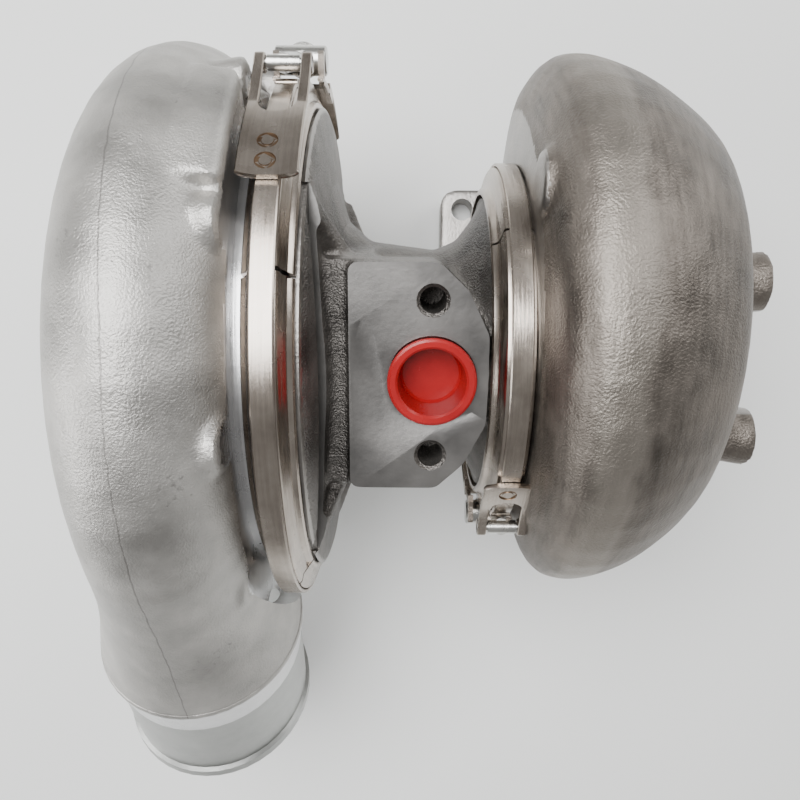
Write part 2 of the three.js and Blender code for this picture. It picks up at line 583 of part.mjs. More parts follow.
function clamp(label, plane, flange, segments, latch) {
  const top = flange + 5.6;
  const strapTop = top + GAP + 1.2;
  const foot = flange - 4;
  const half = latch.half;
  const section = [
    [plane - half, foot], [plane - half + 0.5, foot + 3], [plane - half + 2.8, top - 0.6],
      [plane - half + 3.4, top],
    [plane + half - 3.4, top], [plane + half - 2.8, top - 0.6], [plane + half - 0.5, foot + 3],
      [plane + half, foot],
    [plane + 5.8, foot], [plane + 5.4, flange + 0.6], [plane + 3.8, flange + 3.4],
    [plane - 3.8, flange + 3.4], [plane - 5.4, flange + 0.6], [plane - 5.8, foot],
  ];
  const retainer = turned(section);
  const step = 360 / segments;
  for (let i = 0; i < segments; i += 1) {
    const from = latch.side * latch.middle + step * i + 1.5;
    const part = retainer.intersect(wedge(plane - 12, plane + 12, top, from, from + step - 3));
    add(`${label}_clamp_segment_${i + 1}`, part, stainless);
  }

  const [headY, headZ] = spot(strapTop + 1.2, latch.bend, latch.side, latch.reach, 2.6);
  const head = new THREE.Vector3(plane, headY, headZ);
  const headRadius = Math.hypot(headY, headZ);
  const headAngle = THREE.MathUtils.radToDeg(Math.atan2(headY, headZ)) * latch.side;
  const span = 2 * THREE.MathUtils.radToDeg(Math.asin(21 / headRadius));
  const barrel = around(plane, headRadius, latch.side * (headAngle + span));
  const along = barrel.clone().sub(head).normalize();
  const out = new THREE.Vector3(1, 0, 0).cross(along).multiplyScalar(latch.side);
  const at = (distance, height = 0) => head.clone().addScaledVector(along, distance).addScaledVector(out,
    height);

  // strap, open between the two brackets
  const strap = ring(plane - 4, plane + 4, top + GAP, strapTop);
  const opening = headAngle - 4;
  const closing = headAngle + span + 7;
  const [low, high] = [opening * latch.side, closing * latch.side].sort((a, b) => a - b);
  add(`${label}_clamp_strap`, strap.subtract(wedge(plane - 12, plane + 12, 120, low, high)), stainless);

  // fork: a plate on the strap whose two prongs hold the bolt's head
  const base = strapTop + GAP;
  const plateOutline = arcBand(base, PLATE, latch.start, latch.bend, latch.side, 5);
  const tip = latch.reach + 15;
  plateOutline.splice(6, 0, spot(base + PLATE, latch.bend, latch.side, tip), spot(base, latch.bend,
    latch.side, tip));
  const wallOutline = [
    spot(base, latch.bend, latch.side, latch.reach - 7), spot(base, latch.bend, latch.side,
      latch.reach + 8),
    spot(base + 5.6, latch.bend, latch.side, latch.reach + 5), spot(base + 5.6, latch.bend, latch.side,
      latch.reach - 4),
  ];
  let fork = slab(plateOutline, plane - LATCH_HALF, plane + LATCH_HALF);
  fork = fork.add(slab(wallOutline, plane - LATCH_HALF, plane + LATCH_HALF));
  const slot = [
    spot(base - 4, latch.bend, latch.side, latch.reach - 19), spot(base + 12, latch.bend, latch.side,
      latch.reach - 19),
    spot(base + 12, latch.bend, latch.side, tip + 2), spot(base - 4, latch.bend, latch.side, tip + 2),
  ];
  fork = fork.subtract(slab(slot, plane - 4.8, plane + 4.8));
  const pinHole = rod(head.clone().setX(plane - 12), head.clone().setX(plane + 12), 2.3, 12);
  const stiffener = rod(
    new THREE.Vector3(plane - 6, ...spot(base + 0.9, latch.bend, latch.side, latch.reach - 16.5)),
    new THREE.Vector3(plane + 6, ...spot(base + 0.9, latch.bend, latch.side, latch.reach - 16.5)), 1.6, 10,
  );
  add(`${label}_clamp_fork`, fork.subtract(pinHole).add(stiffener), stainless);

  // hooks: a plate on the strap's other end, with an ear on each side that the trunnion bar lies in
  const far = headAngle + span;
  let hooks = slab(arcBand(base, PLATE, far + 9, far + latch.tail, latch.side, 4), plane - LATCH_HALF,
    plane + LATCH_HALF);
  const ear = arcBand(base - 2.6, 1.7, far - 6.8, far + 9, latch.side, 4);
  const lip = [at(33.2, -7.6), at(36.2, -7.6), at(36.2, 2.6), at(34, 3.4), at(33.2,
    2.6)].map((point) => [point.y, point.z]);
  const heel = arcBand(base - 2.6, PLATE + 2.6, far + 8, far + 14, latch.side, 2);
  for (const [x0, x1] of [[-LATCH_HALF, -6.8], [6.8, LATCH_HALF]]) {
    for (const outline of [ear, lip, heel]) hooks = hooks.add(slab(outline, plane + x0, plane + x1));
  }
  add(`${label}_clamp_hooks`, hooks, stainless);

  // T-bolt
  let bolt = rod(head.clone().setX(plane - 4.5), head.clone().setX(plane + 4.5), 3.4, 12);
  bolt = bolt.add(rod(head.clone().setX(plane - 8.6), head.clone().setX(plane + 8.6), 1.7, 10));
  bolt = bolt.add(rod(at(0), at(63), BOLT, 12));
  add(`${label}_clamp_t_bolt`, bolt, steel);

  // trunnion bar and nut
  const bar = rod(barrel.clone().setX(plane - 9.2), barrel.clone().setX(plane + 9.2), 5, 14);
  add(`${label}_clamp_trunnion`, bar.subtract(rod(at(34), at(50), BOLT + 0.4, 16)), steel);
  const nut = rod(at(47.4), at(53.4), 6.2, 6).subtract(rod(at(46), at(55), BOLT + 0.4, 16));
  add(`${label}_clamp_nut`, nut, steel);
}

clamp('compressor', COMPRESSOR_JOINT_X, COMPRESSOR_FLANGE, 5, {
  side: 1, start: 25, bend: 44, reach: 21, middle: 83, half: 7.5, tail: 34,
});
clamp('turbine', TURBINE_JOINT_X, TURBINE_FLANGE, 3, {
  side: -1, start: 44, bend: 58, reach: 12, middle: 88, half: 8.2, tail: 40,
});

// ---- transport cap in the drain port

function drainCap() {
  const base = DRAIN_FACE + GAP;
  const profile = [
    [0, 0], [0, 11.6], [0.6, 12], [11.6, 12.1], [11.6, 13.9], [12.6, 14.2], [14.6, 13.8], [14.9, 13.2],
      [14.6, 10.8],
    [2, 9.6], [2, 0],
  ];
  const points = profile.map(([height, radius]) => new THREE.Vector2(radius, height));
  const cup = new THREE.LatheGeometry(points, 20).rotateX(Math.PI / 2).translate(DRAIN_X, 0, base - 11.6);
  return turnAbout(solid(cup), DRAIN_TURN);
}
add('drain_cap', drainCap(), redCap);

export default turbocharger;
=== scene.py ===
import json
import math

import bmesh
import bpy
from mathutils import Matrix, Vector


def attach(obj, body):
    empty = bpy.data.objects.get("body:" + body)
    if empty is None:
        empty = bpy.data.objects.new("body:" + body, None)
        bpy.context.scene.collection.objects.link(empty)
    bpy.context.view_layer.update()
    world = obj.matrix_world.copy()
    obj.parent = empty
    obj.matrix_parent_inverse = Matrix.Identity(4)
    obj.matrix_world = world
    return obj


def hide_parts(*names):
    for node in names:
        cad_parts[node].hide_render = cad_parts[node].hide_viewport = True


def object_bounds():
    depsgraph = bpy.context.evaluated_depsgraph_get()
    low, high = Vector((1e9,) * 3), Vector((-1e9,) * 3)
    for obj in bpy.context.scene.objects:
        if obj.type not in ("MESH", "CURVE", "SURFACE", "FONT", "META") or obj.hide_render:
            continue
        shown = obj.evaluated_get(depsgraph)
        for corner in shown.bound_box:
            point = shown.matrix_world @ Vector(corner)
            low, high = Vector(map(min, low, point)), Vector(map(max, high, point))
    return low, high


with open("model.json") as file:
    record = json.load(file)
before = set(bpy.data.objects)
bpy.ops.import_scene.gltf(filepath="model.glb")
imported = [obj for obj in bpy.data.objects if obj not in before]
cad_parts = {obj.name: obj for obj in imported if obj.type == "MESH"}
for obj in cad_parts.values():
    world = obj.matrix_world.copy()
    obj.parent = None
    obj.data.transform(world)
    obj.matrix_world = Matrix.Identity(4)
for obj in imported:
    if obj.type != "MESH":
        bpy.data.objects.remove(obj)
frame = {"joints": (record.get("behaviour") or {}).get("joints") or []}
cad_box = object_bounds()

# ---- bearing housing
# A heavy grey-iron casting between the two ends: a wide flange towards the compressor, a small one
# towards the turbine and the oil drain's block on top. Only the block's face, the bores and the flanges'
# rims are machined.

JOINTS = {joint["name"]: joint for joint in frame["joints"]}
SHAFT = Vector(JOINTS["rotor_spin"]["pos_m"])
MM = 0.001
DRAIN_TURN = -13
DRAIN_FACE = 57
DRAIN_X = 9.6
DRAIN_BOLT = 25.4
COMPRESSOR_FLANGE = 88.5
TURBINE_FLANGE = 60
COMPRESSOR_JOINT = -37
TURBINE_JOINT = 36.5


def around(along, radius, angle):
    """A point in millimetres: along the shaft, out from it, and round it from straight up."""
    turn = math.radians(angle)
    return Vector((along, radius * math.sin(turn), radius * math.cos(turn)))


def turned(profile, sides=128, start=0, stop=360):
    """A shape turned about the shaft from (along, radius) points, all round or between two angles."""
    whole = stop - start == 360
    stations = sides if whole else sides + 1
    corners, rows = [], []
    for along, radius in profile:
        if radius == 0:
            rows.append([len(corners)] * stations)
            corners.append(Vector((along, 0, 0)))
        else:
            rows.append(list(range(len(corners), len(corners) + stations)))
            corners += [around(along, radius, start + (stop - start) * i / sides) for i in range(stations)]
    if profile[0][1] > 0:
        rows.append(rows[0])
    faces = []
    for near, far in zip(rows, rows[1:]):
        for i in range(sides):
            j = (i + 1) % stations
            face = tuple(dict.fromkeys((near[i], near[j], far[j], far[i])))
            if len(face) > 2:
                faces.append(face)
    if not whole:
        outline = rows[:-1] if profile[0][1] > 0 else rows
        faces += [tuple(row[0] for row in outline), tuple(row[-1] for row in reversed(outline))]
    return corners, faces


def loft(rings):
    """A closed skin through rings of corners, flat at both ends."""
    count = len(rings[0])
    corners = [Vector(corner) for ring in rings for corner in ring]
    faces = [tuple(range(count)), tuple(range(len(corners) - count, len(corners)))]
    for start in range(0, len(corners) - count, count):
        for j in range(count):
            k = (j + 1) % count
            faces.append((start + j, start + k, start + k + count, start + j + count))
    return corners, faces


def rod(start, end, radius, end_radius=None, sides=48):
    """A round bar between two points."""
    start, end = Vector(start), Vector(end)
    turn = (end - start).to_track_quat("Z", "Y")
    rings = []
    for middle, size in ((start, radius), (end, radius if end_radius is None else end_radius)):
        spokes = [
            (size * math.cos(math.tau * i / sides), size * math.sin(math.tau * i / sides), 0)
            for i in range(sides)
        ]
        rings.append([middle + turn @ Vector(spoke) for spoke in spokes])
    return loft(rings)


def pegs(angles, low, high, *sizes, sides=48):
    """Bars from one (along, radius) place to another, one at each angle round the shaft."""
    return [rod(around(*low, angle), around(*high, angle), *sizes, sides=sides) for angle in angles]


def slab(outline, low, high, axis=0):
    """A flat plate: its outline is drawn across the named axis, and it runs from low to high along it."""
    return loft(
        [[Vector((*pair[:axis], depth, *pair[axis:])) for pair in outline] for depth in (low, high)]
    )


def turn_about(shape, angle):
    """The shape turned round the shaft."""
    turn = Matrix.Rotation(math.radians(-angle), 3, "X")
    return [turn @ corner for corner in shape[0]], shape[1]


def piece(name, *shapes, sharp=32):
    """A mesh object in the row's frame from shapes in millimetres round the shaft."""
    build = bmesh.new()
    for corners, faces in shapes:
        placed = [build.verts.new(SHAFT + Vector(corner) * MM) for corner in corners]
        for face in faces:
            build.faces.new([placed[i] for i in face])
    bmesh.ops.recalc_face_normals(build, faces=build.faces)
    bmesh.ops.triangulate(build, faces=[face for face in build.faces if len(face.verts) > 4])
    mesh = bpy.data.meshes.new(name)
    build.to_mesh(mesh)
    build.free()
    made = bpy.data.objects.new(name, mesh)
    bpy.context.scene.collection.objects.link(made)
    return crisp(made, sharp)


def crisp(made, sharp=32):
    """Smooth shading, with an edge kept where the surface turns by more than sharp degrees."""
    made.data.polygons.foreach_set("use_smooth", [True] * len(made.data.polygons))
    made.data.set_sharp_from_angle(angle=math.radians(sharp))
    return made


def settle(made):
    """The piece's modifiers worked into its mesh."""
    bpy.context.view_layer.update()
    result = bpy.data.meshes.new_from_object(made.evaluated_get(bpy.context.evaluated_depsgraph_get()))
    made.modifiers.clear()
    made.data = result
    return made


def cast(name, *shapes, grain=1.3, rounds=6):
    """Shapes run together into one casting, with the soft inner corners that a sand mould leaves."""
    made = piece(name, *shapes)
    remesh = made.modifiers.new("skin", "REMESH")
    remesh.mode = "VOXEL"
    remesh.voxel_size = grain * MM
    soften = made.modifiers.new("soften", "SMOOTH")
    soften.factor = 0.5
    soften.iterations = rounds
    return crisp(settle(made))


def work(made, operation, *shapes):
    """Cuts shapes out of a piece, or joins them onto it, one after the other."""
    tools = [shape if isinstance(shape, bpy.types.Object) else piece("tool", shape) for shape in shapes]
    for tool in tools:
        step = made.modifiers.new("work", "BOOLEAN")
        step.operation = operation
        step.solver = "MANIFOLD"
        step.object = tool
    settle(made)
    for tool in tools:
        bpy.data.objects.remove(tool)
    return crisp(made)


def paint(made, *finishes):
    """Gives a piece its finishes, the first one all over."""
    made.data.materials.clear()
    for finish in finishes:
        made.data.materials.append(finish)
    return made


def machine(made, index, reached):
    """Gives a later finish to the faces that a tool has reached, told by their middle and their way out."""
    for face in made.data.polygons:
        if reached((Vector(face.center) - SHAFT) / MM, face.normal):
            face.material_index = index


def fit(made, body, slot, *nodes):
    """Sets a piece on its body and hides the plain nodes that it stands for; the slot argument is not used.
    """
    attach(made, body)
    if nodes:
        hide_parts(*nodes)
    return made


def group(name, inputs, outputs):
    """An empty shader group with number inputs and the outputs' kinds."""
    tree = bpy.data.node_groups.new(name, "ShaderNodeTree")
    for label, value in inputs.items():
        tree.interface.new_socket(
            label, in_out="INPUT", socket_type="NodeSocketFloat"
        ).default_value = value
    for label in outputs:
        tree.interface.new_socket(label, in_out="OUTPUT", socket_type="NodeSocketFloat")
    return tree, tree.nodes.new("NodeGroupInput"), tree.nodes.new("NodeGroupOutput")


def node(tree, kind, links=None, **settings):
    """A node with its settings, and its inputs linked to sockets or set to values."""
    made = tree.nodes.new(kind)
    for key, value in settings.items():
        setattr(made, key, value)
    for key, source in (links or {}).items():
        if isinstance(source, bpy.types.NodeSocket):
            tree.links.new(source, made.inputs[key])
        else:
            made.inputs[key].default_value = source
    return made


def maths(tree, operation, *values):
    """The result of a sum worked out in a tree."""
    return node(tree, "ShaderNodeMath", dict(enumerate(values)), operation=operation).outputs[0]


# Sand grain: fine pits over soft lumps, as one height, and broad patches for colour.
sand_grain, given, result = group("sand_grain", {"Size": 900, "Lumps": 0.4}, ["Height", "Patches"])
place = node(sand_grain, "ShaderNodeTexCoord")
fine = node(
    sand_grain, "ShaderNodeTexNoise",
    {"Vector": place.outputs["Object"], "Scale": given.outputs["Size"], "Detail": 3}
)
lump = node(
    sand_grain, "ShaderNodeTexNoise", {"Vector": place.outputs["Object"], "Scale": 160, "Detail": 2}
)
both = maths(sand_grain, "MULTIPLY_ADD", lump.outputs["Fac"], given.outputs["Lumps"], fine.outputs["Fac"])
patch = node(
    sand_grain, "ShaderNodeTexNoise",
    {"Vector": place.outputs["Object"], "Scale": 38, "Detail": 5, "Roughness": 0.6}
)
sand_grain.links.new(both, result.inputs["Height"])
sand_grain.links.new(patch.outputs["Fac"], result.inputs["Patches"])

# Tool marks: lines that run round the shaft, as on a turned, rolled or brushed part.
tool_marks, given, result = group("tool_marks", {"Lines": 900, "Round": 1.5}, ["Height"])
place = node(tool_marks, "ShaderNodeTexCoord")
offset = node(
    tool_marks, "ShaderNodeVectorMath", {0: place.outputs["Object"], 1: SHAFT}, operation="SUBTRACT"
)
split = node(tool_marks, "ShaderNodeSeparateXYZ", {0: offset.outputs[0]})
turn = maths(tool_marks, "ARCTAN2", split.outputs["Y"], split.outputs["Z"])
square = maths(tool_marks, "MULTIPLY", split.outputs["Y"], split.outputs["Y"])
total = maths(tool_marks, "MULTIPLY_ADD", split.outputs["Z"], split.outputs["Z"], square)
reach = maths(tool_marks, "SQRT", total)
wide = maths(tool_marks, "MULTIPLY", split.outputs["X"], given.outputs["Lines"])
tall = maths(tool_marks, "MULTIPLY", reach, given.outputs["Lines"])
long = maths(tool_marks, "MULTIPLY", turn, given.outputs["Round"])
rolled = node(tool_marks, "ShaderNodeCombineXYZ", {"X": wide, "Y": tall, "Z": long})
lines = node(tool_marks, "ShaderNodeTexNoise", {"Vector": rolled.outputs[0], "Scale": 1, "Detail": 3})
tool_marks.links.new(lines.outputs["Fac"], result.inputs["Height"])


# Where the Mix node keeps its two colours and its result.
MIX_FIRST, MIX_SECOND, MIX_RESULT = 6, 7, 2


def finish(
    name, dark, light, rough, metal=1.0, size=900, lumps=0.4, grain=0.2, marks=0.0, density=900, turns=1.5,
    streak=0.0
):
    """A surface between two colours and two roughnesses, with sand grain and tool marks in its relief."""
    made = bpy.data.materials.new(name)
    made.use_nodes = True
    tree = made.node_tree
    shader = tree.nodes["Principled BSDF"]
    shader.inputs["Metallic"].default_value = metal
    sand = node(tree, "ShaderNodeGroup", node_tree=sand_grain)
    sand.inputs["Size"].default_value = size
    sand.inputs["Lumps"].default_value = lumps
    lathe = node(tree, "ShaderNodeGroup", node_tree=tool_marks)
    lathe.inputs["Lines"].default_value = density
    lathe.inputs["Round"].default_value = turns
    uneven = maths(tree, "MULTIPLY_ADD", lathe.outputs["Height"], streak, sand.outputs["Patches"])
    middle, reach = 0.5 + 0.5 * streak, 0.17 + 0.14 * streak
    blend = node(
        tree, "ShaderNodeMapRange",
        {"Value": uneven, "From Min": middle - reach, "From Max": middle + reach}
    )
    colour = node(tree, "ShaderNodeMix", {
        "Factor": blend.outputs["Result"], MIX_FIRST: (*dark, 1), MIX_SECOND: (*light, 1),
    }, data_type="RGBA")
    dull = node(tree, "ShaderNodeMapRange", {
        "Value": sand.outputs["Patches"], "From Min": 0.3, "From Max": 0.7, "To Min": rough[0],
        "To Max": rough[1],
    })
    relief = node(
        tree, "ShaderNodeBump", {"Height": sand.outputs["Height"], "Strength": grain, "Distance": 0.0006}
    )
    if marks:
        relief = node(tree, "ShaderNodeBump", {
            "Height": lathe.outputs["Height"], "Strength": marks, "Distance": 0.0004,
            "Normal": relief.outputs["Normal"],
        })
    tree.links.new(colour.outputs[MIX_RESULT], shader.inputs["Base Color"])
    tree.links.new(dull.outputs["Result"], shader.inputs["Roughness"])
    tree.links.new(relief.outputs["Normal"], shader.inputs["Normal"])
    return made


grey_iron = finish(
    "grey_iron_as_cast", (0.065, 0.060, 0.056), (0.27, 0.255, 0.24), (0.36, 0.56), size=1400, lumps=1.0,
    grain=1.0
)
iron_faced = finish(
    "grey_iron_faced", (0.20, 0.195, 0.19), (0.30, 0.29, 0.28), (0.32, 0.44), size=600, grain=0.08
)
iron_turned = finish("grey_iron_turned", (0.20, 0.19, 0.18), (0.40, 0.38, 0.36), (0.3, 0.42), marks=0.25)


def drain(along, across, height):
    """A point on the drain block, whose face is tilted round the shaft."""
    return Matrix.Rotation(math.radians(-DRAIN_TURN), 3, "X") @ Vector((along, across, height))


def rounded(outline, radius, steps=6):
    """An outline with its corners rounded to a radius."""
    result = []
    for before, corner, after in zip([outline[-1]] + outline[:-1], outline, outline[1:] + outline[:1]):
        corner = Vector(corner)
        into, out = (Vector(before) - corner).normalized(), (Vector(after) - corner).normalized()
        half = into.angle(out) / 2
        cut = min(
            radius / math.tan(half),
            0.45 * min((Vector(before) - corner).length, (Vector(after) - corner).length)
        )
        first, last = corner + into * cut, corner + out * cut
        for i in range(steps + 1):
            t = i / steps
            result.append((first * (1 - t) + corner * t) * (1 - t) + (corner * (1 - t) + last * t) * t)
    return result


def drain_block():
    """The block that carries the oil drain's face, narrower towards the shaft."""
    half = [
        (-16.7, -37), (11.5, -37), (20.5, -28.5), (27.4, -14.5), (27.4, 14.5), (20.5, 28.5), (11.5, 37),
        (-16.7, 37)
    ]
    levels = [(-20, 0.86), (DRAIN_FACE - 17, 0.98), (DRAIN_FACE - 8, 1), (DRAIN_FACE + 2, 1)]
    outline = rounded(half, 3)
    rings = [[Vector((p.x * share, p.y * share, height)) for p in outline] for height, share in levels]
    return turn_about(loft(rings), DRAIN_TURN)


def saddle():
    """The rough shoulder between the drain block and the flange, with a valley along it."""
    outline = [
        (-33, 5), (-33, 76), (-29.4, 76), (-28, 64), (-27.2, 54), (-26, 50.2), (-24.4, 52.4), (-18, 53),
        (-9, 52), (-9, 5)
    ]
    return turn_about(slab(outline, -37.5, 37.5, axis=1), DRAIN_TURN)


def rib(angle, reach=82):
    """A web from the flange to the barrel."""
    outline = [(-31, 30), (-31, reach), (-26, reach - 2), (-13, 42), (-13, 30)]
    return turn_about(slab(outline, -3.6, 3.6, axis=1), angle)


compressor_side = COMPRESSOR_JOINT + 0.15
turbine_side = TURBINE_JOINT - 0.15
housing = cast(
    "bearing_housing_casting",
    turned([
        (compressor_side, 0), (compressor_side, 86), (-28.6, 86), (-26.8, 81), (-24.8, 60), (-20.5, 46),
        (-12, 38.5),
        (12, 35.5), (20, 39), (26, 47), (30, 55.2), (turbine_side, 55.2), (turbine_side, 0),
    ]),
    drain_block(), saddle(), rib(30), rib(-56), rib(122), rib(200), rib(-115),
    rod(around(-4, 10, DRAIN_TURN + 180), around(-4, 48, DRAIN_TURN + 180), 16, 14.5),
    rod(around(8, 10, DRAIN_TURN + 180), around(8, 48, DRAIN_TURN + 180), 16, 14.5),
    grain=1.15, rounds=5,
)
work(
    housing, "DIFFERENCE",
    turned(
        [(compressor_side - 8, 0), (compressor_side - 8, 96), (compressor_side, 96), (compressor_side, 0)]
    ),
    turned([(turbine_side + 9, 0), (turbine_side + 9, 66), (turbine_side, 66), (turbine_side, 0)]),
    turned([(compressor_side - 1, 83.8), (compressor_side - 1, 96), (-29.4, 96), (-28.4, 83.8)]),
    turned([(turbine_side + 1, 55), (turbine_side + 1, 66), (27, 66), (29, 55)]),
    turn_about(
        slab([(-60, -60), (60, -60), (60, 60), (-60, 60)], DRAIN_FACE, DRAIN_FACE + 9, axis=2), DRAIN_TURN
    ),
)
work(
    housing, "UNION",
    turned([
        (compressor_side, 70), (compressor_side, 88.2), (compressor_side + 0.3, 88.5),
        (compressor_side + 3.6, 88.5),
        (compressor_side + 3.9, 88.3), (compressor_side + 5.2, 84.3), (-28, 83), (-28, 70),
    ]),
    turned([
        (turbine_side, 50), (turbine_side, 59.7), (turbine_side - 0.3, 60), (turbine_side - 3.6, 60),
        (turbine_side - 3.9, 59.8), (turbine_side - 5.2, 55.4), (29, 54.6), (29, 50),
    ]),
)
holes = [
    turned([
        (-40, 0), (-40, 30.4), (-30.6, 30.4), (-30.6, 25), (-26.4, 25), (-26.4, 14.2), (-24, 14.2),
        (-24, 12.3),
        (-13.1, 12.3), (-13.1, 13.8), (-11.3, 13.8), (-11.3, 24), (11.3, 24), (11.3, 13.8), (13.1, 13.8),
        (13.1, 12.3),
        (24, 12.3), (24, 13.8), (25.8, 13.8), (25.8, 11.6), (35.6, 11.6), (35.6, 15.5), (34.4, 16),
        (34.4, 54.5),
        (38, 54.5), (38, 0),
    ]),
    rod(drain(DRAIN_X, 0, 15), drain(DRAIN_X, 0, DRAIN_FACE + 1), 12.6, sides=64),
    rod(drain(DRAIN_X, 0, DRAIN_FACE - 2), drain(DRAIN_X, 0, DRAIN_FACE + 0.3), 12.4, 14.7, sides=64),
    rod(drain(9.5, 10, DRAIN_FACE + 0.5), drain(9.14, 9.57, DRAIN_FACE + 8.5), 24.4, 40.4, sides=96),
    rod(around(8, 34, DRAIN_TURN + 180), around(8, 49, DRAIN_TURN + 180), 6.5),
    turn_about(slab([(-60, -60), (60, -60), (60, 60), (-60, 60)], -60, -46, axis=2), DRAIN_TURN),
]
for side in (-1, 1):
    top = DRAIN_FACE
    holes.append(
        rod(drain(DRAIN_X, side * DRAIN_BOLT, top - 20), drain(DRAIN_X, side * DRAIN_BOLT, top + 1), 4.2)
    )
    holes.append(
        rod(
            drain(DRAIN_X, side * DRAIN_BOLT, top - 1.2), drain(DRAIN_X, side * DRAIN_BOLT, top + 0.3), 4.1,
            5.6
        )
    )
work(housing, "DIFFERENCE", *holes)
face_out = drain(0, 0, 1)
paint(housing, grey_iron, iron_faced, iron_turned)
machine(housing, 1, lambda middle, out: out.dot(face_out) > 0.75 and middle.dot(face_out) > DRAIN_FACE - 2)
machine(housing, 2, lambda middle, out: abs(out.x) > 0.97 and middle.yz.length > 60 and middle.x < -36)
machine(
    housing, 2, lambda middle, out: middle.yz.length > 83.7 or (middle.x > 29 and middle.yz.length > 54.6)
)
machine(housing, 2, lambda middle,
    out: (middle - DRAIN_X * Vector((1, 0, 0)) - face_out * middle.dot(face_out)).length < 13.9
        and middle.dot(face_out) > 30 and out.dot(face_out) < 0.9)
fit(housing, "housing", "housing_iron", "bearing_housing")


# ---- bearings, thrust pieces and seals inside the bearing housing
# Two bronze sleeves float on the oil round the shaft, kept by snap rings; a bronze plate takes the
# thrust, and steel piston rings and rubber O-rings seal the ends. All are turned or pressed and simply
# slid into place.

bronze = finish(
    "bearing_bronze", (0.42, 0.25, 0.10), (0.62, 0.40, 0.17), (0.25, 0.4), grain=0.05, marks=0.2
)
turned_steel = finish(
    "turned_steel", (0.42, 0.42, 0.42), (0.62, 0.61, 0.60), (0.2, 0.34), grain=0.05, marks=0.18
)
black_rubber = finish(
    "seal_rubber", (0.012, 0.012, 0.012), (0.03, 0.03, 0.03), (0.45, 0.6), metal=0, grain=0.1
)


def sleeve(low, high, inner, outer, bevel=0.4):
    """A ring with its corners taken off."""
    return turned([
        (low, inner + bevel), (low, outer - bevel), (low + bevel, outer), (high - bevel, outer),
        (high, outer - bevel),
        (high, inner + bevel), (high - bevel, inner), (low + bevel, inner),
    ], sides=72)


def slot_at_bottom(low, high):
    """The gap of a spring ring."""
    return slab([(-2.5, -16), (2.5, -16), (2.5, -8), (-2.5, -8)], low, high)


for label, middle in (("compressor", -18.6), ("turbine", 18.6)):
    bearing = piece(f"{label}_floating_bearing", sleeve(middle - 5, middle + 5, 8.5, 11.8))
    work(bearing, "DIFFERENCE", *pegs(range(0, 360, 60), (middle, 6), (middle, 14), 1.3, sides=20))
    paint(bearing, bronze)
    fit(bearing, f"{label}_bearing", "bearing_bronze", f"{label}_journal_bearing")
for label, low in (
    ("compressor_snap_ring", -12.8), ("turbine_inner_snap_ring", 11.6), ("turbine_outer_snap_ring", 24.3)
):
    clip = paint(work(piece(label + "_spring", sleeve(low, low + 1.2, 10.4, 13.3, 0.1)), "DIFFERENCE",
                      slot_at_bottom(low - 1, low + 3)), turned_steel)
    fit(clip, "housing", "steel", label)
for label, low, high, inner, outer, look, slot in (
    ("compressor_piston_ring", -36.7, -35.9, 8.6, 9.6, turned_steel, "steel"),
    ("turbine_piston_ring", 30.2, 31.2, 9.9, 11.4, turned_steel, "steel"),
    ("oil_baffle", -32.9, -32.2, 9.9, 28, turned_steel, "steel"),
    ("cover_o_ring", -38.8, -37.2, 79.35, 81, black_rubber, "seal_rubber"),
    ("seal_plate_o_ring", -35.8, -34.9, 28.2, 29.5, black_rubber, "seal_rubber"),
):
    seal = paint(piece(label + "_seal", sleeve(low, high, inner, outer, 0.25)), look)
    fit(seal, "housing", slot, label)


def pattern_tree():
    """Geometry nodes that set copies of a part at equal steps round the shaft and give them a finish."""
    tree = bpy.data.node_groups.new("round_the_shaft", "GeometryNodeTree")
    face = tree.interface
    face.new_socket("Geometry", in_out="INPUT", socket_type="NodeSocketGeometry")
    face.new_socket("Part", in_out="INPUT", socket_type="NodeSocketObject")
    face.new_socket("Count", in_out="INPUT", socket_type="NodeSocketInt")
    face.new_socket("Start", in_out="INPUT", socket_type="NodeSocketFloat")
    face.new_socket("Shaft", in_out="INPUT", socket_type="NodeSocketVector")
    face.new_socket("Finish", in_out="INPUT", socket_type="NodeSocketMaterial")
    face.new_socket("Geometry", in_out="OUTPUT", socket_type="NodeSocketGeometry")
    given, out = tree.nodes.new("NodeGroupInput"), tree.nodes.new("NodeGroupOutput")
    part = node(
        tree, "GeometryNodeObjectInfo", {"Object": given.outputs["Part"]}, transform_space="ORIGINAL"
    )
    back = node(tree, "ShaderNodeVectorMath", {0: given.outputs["Shaft"], "Scale": -1}, operation="SCALE")
    centred = node(
        tree, "GeometryNodeTransform",
        {"Geometry": part.outputs["Geometry"], "Translation": back.outputs[0]}
    )
    points = node(tree, "GeometryNodePoints", {"Count": given.outputs["Count"]})
    order = tree.nodes.new("GeometryNodeInputIndex")
    share = maths(tree, "DIVIDE", order.outputs[0], given.outputs["Count"])
    angle = maths(tree, "MULTIPLY_ADD", share, -math.tau, given.outputs["Start"])
    turn = node(tree, "ShaderNodeCombineXYZ", {"X": angle})
    copies = node(tree, "GeometryNodeInstanceOnPoints", {
        "Points": points.outputs[0], "Instance": centred.outputs[0], "Rotation": turn.outputs[0],
    })
    moved = node(
        tree, "GeometryNodeTransform",
        {"Geometry": copies.outputs[0], "Translation": given.outputs["Shaft"]}
    )
    real = node(tree, "GeometryNodeRealizeInstances", {"Geometry": moved.outputs[0]})
    painted = node(
        tree, "GeometryNodeSetMaterial", {"Geometry": real.outputs[0], "Material": given.outputs["Finish"]}
    )
    tree.links.new(painted.outputs[0], out.inputs[0])
    return tree


ROUND_THE_SHAFT = pattern_tree()


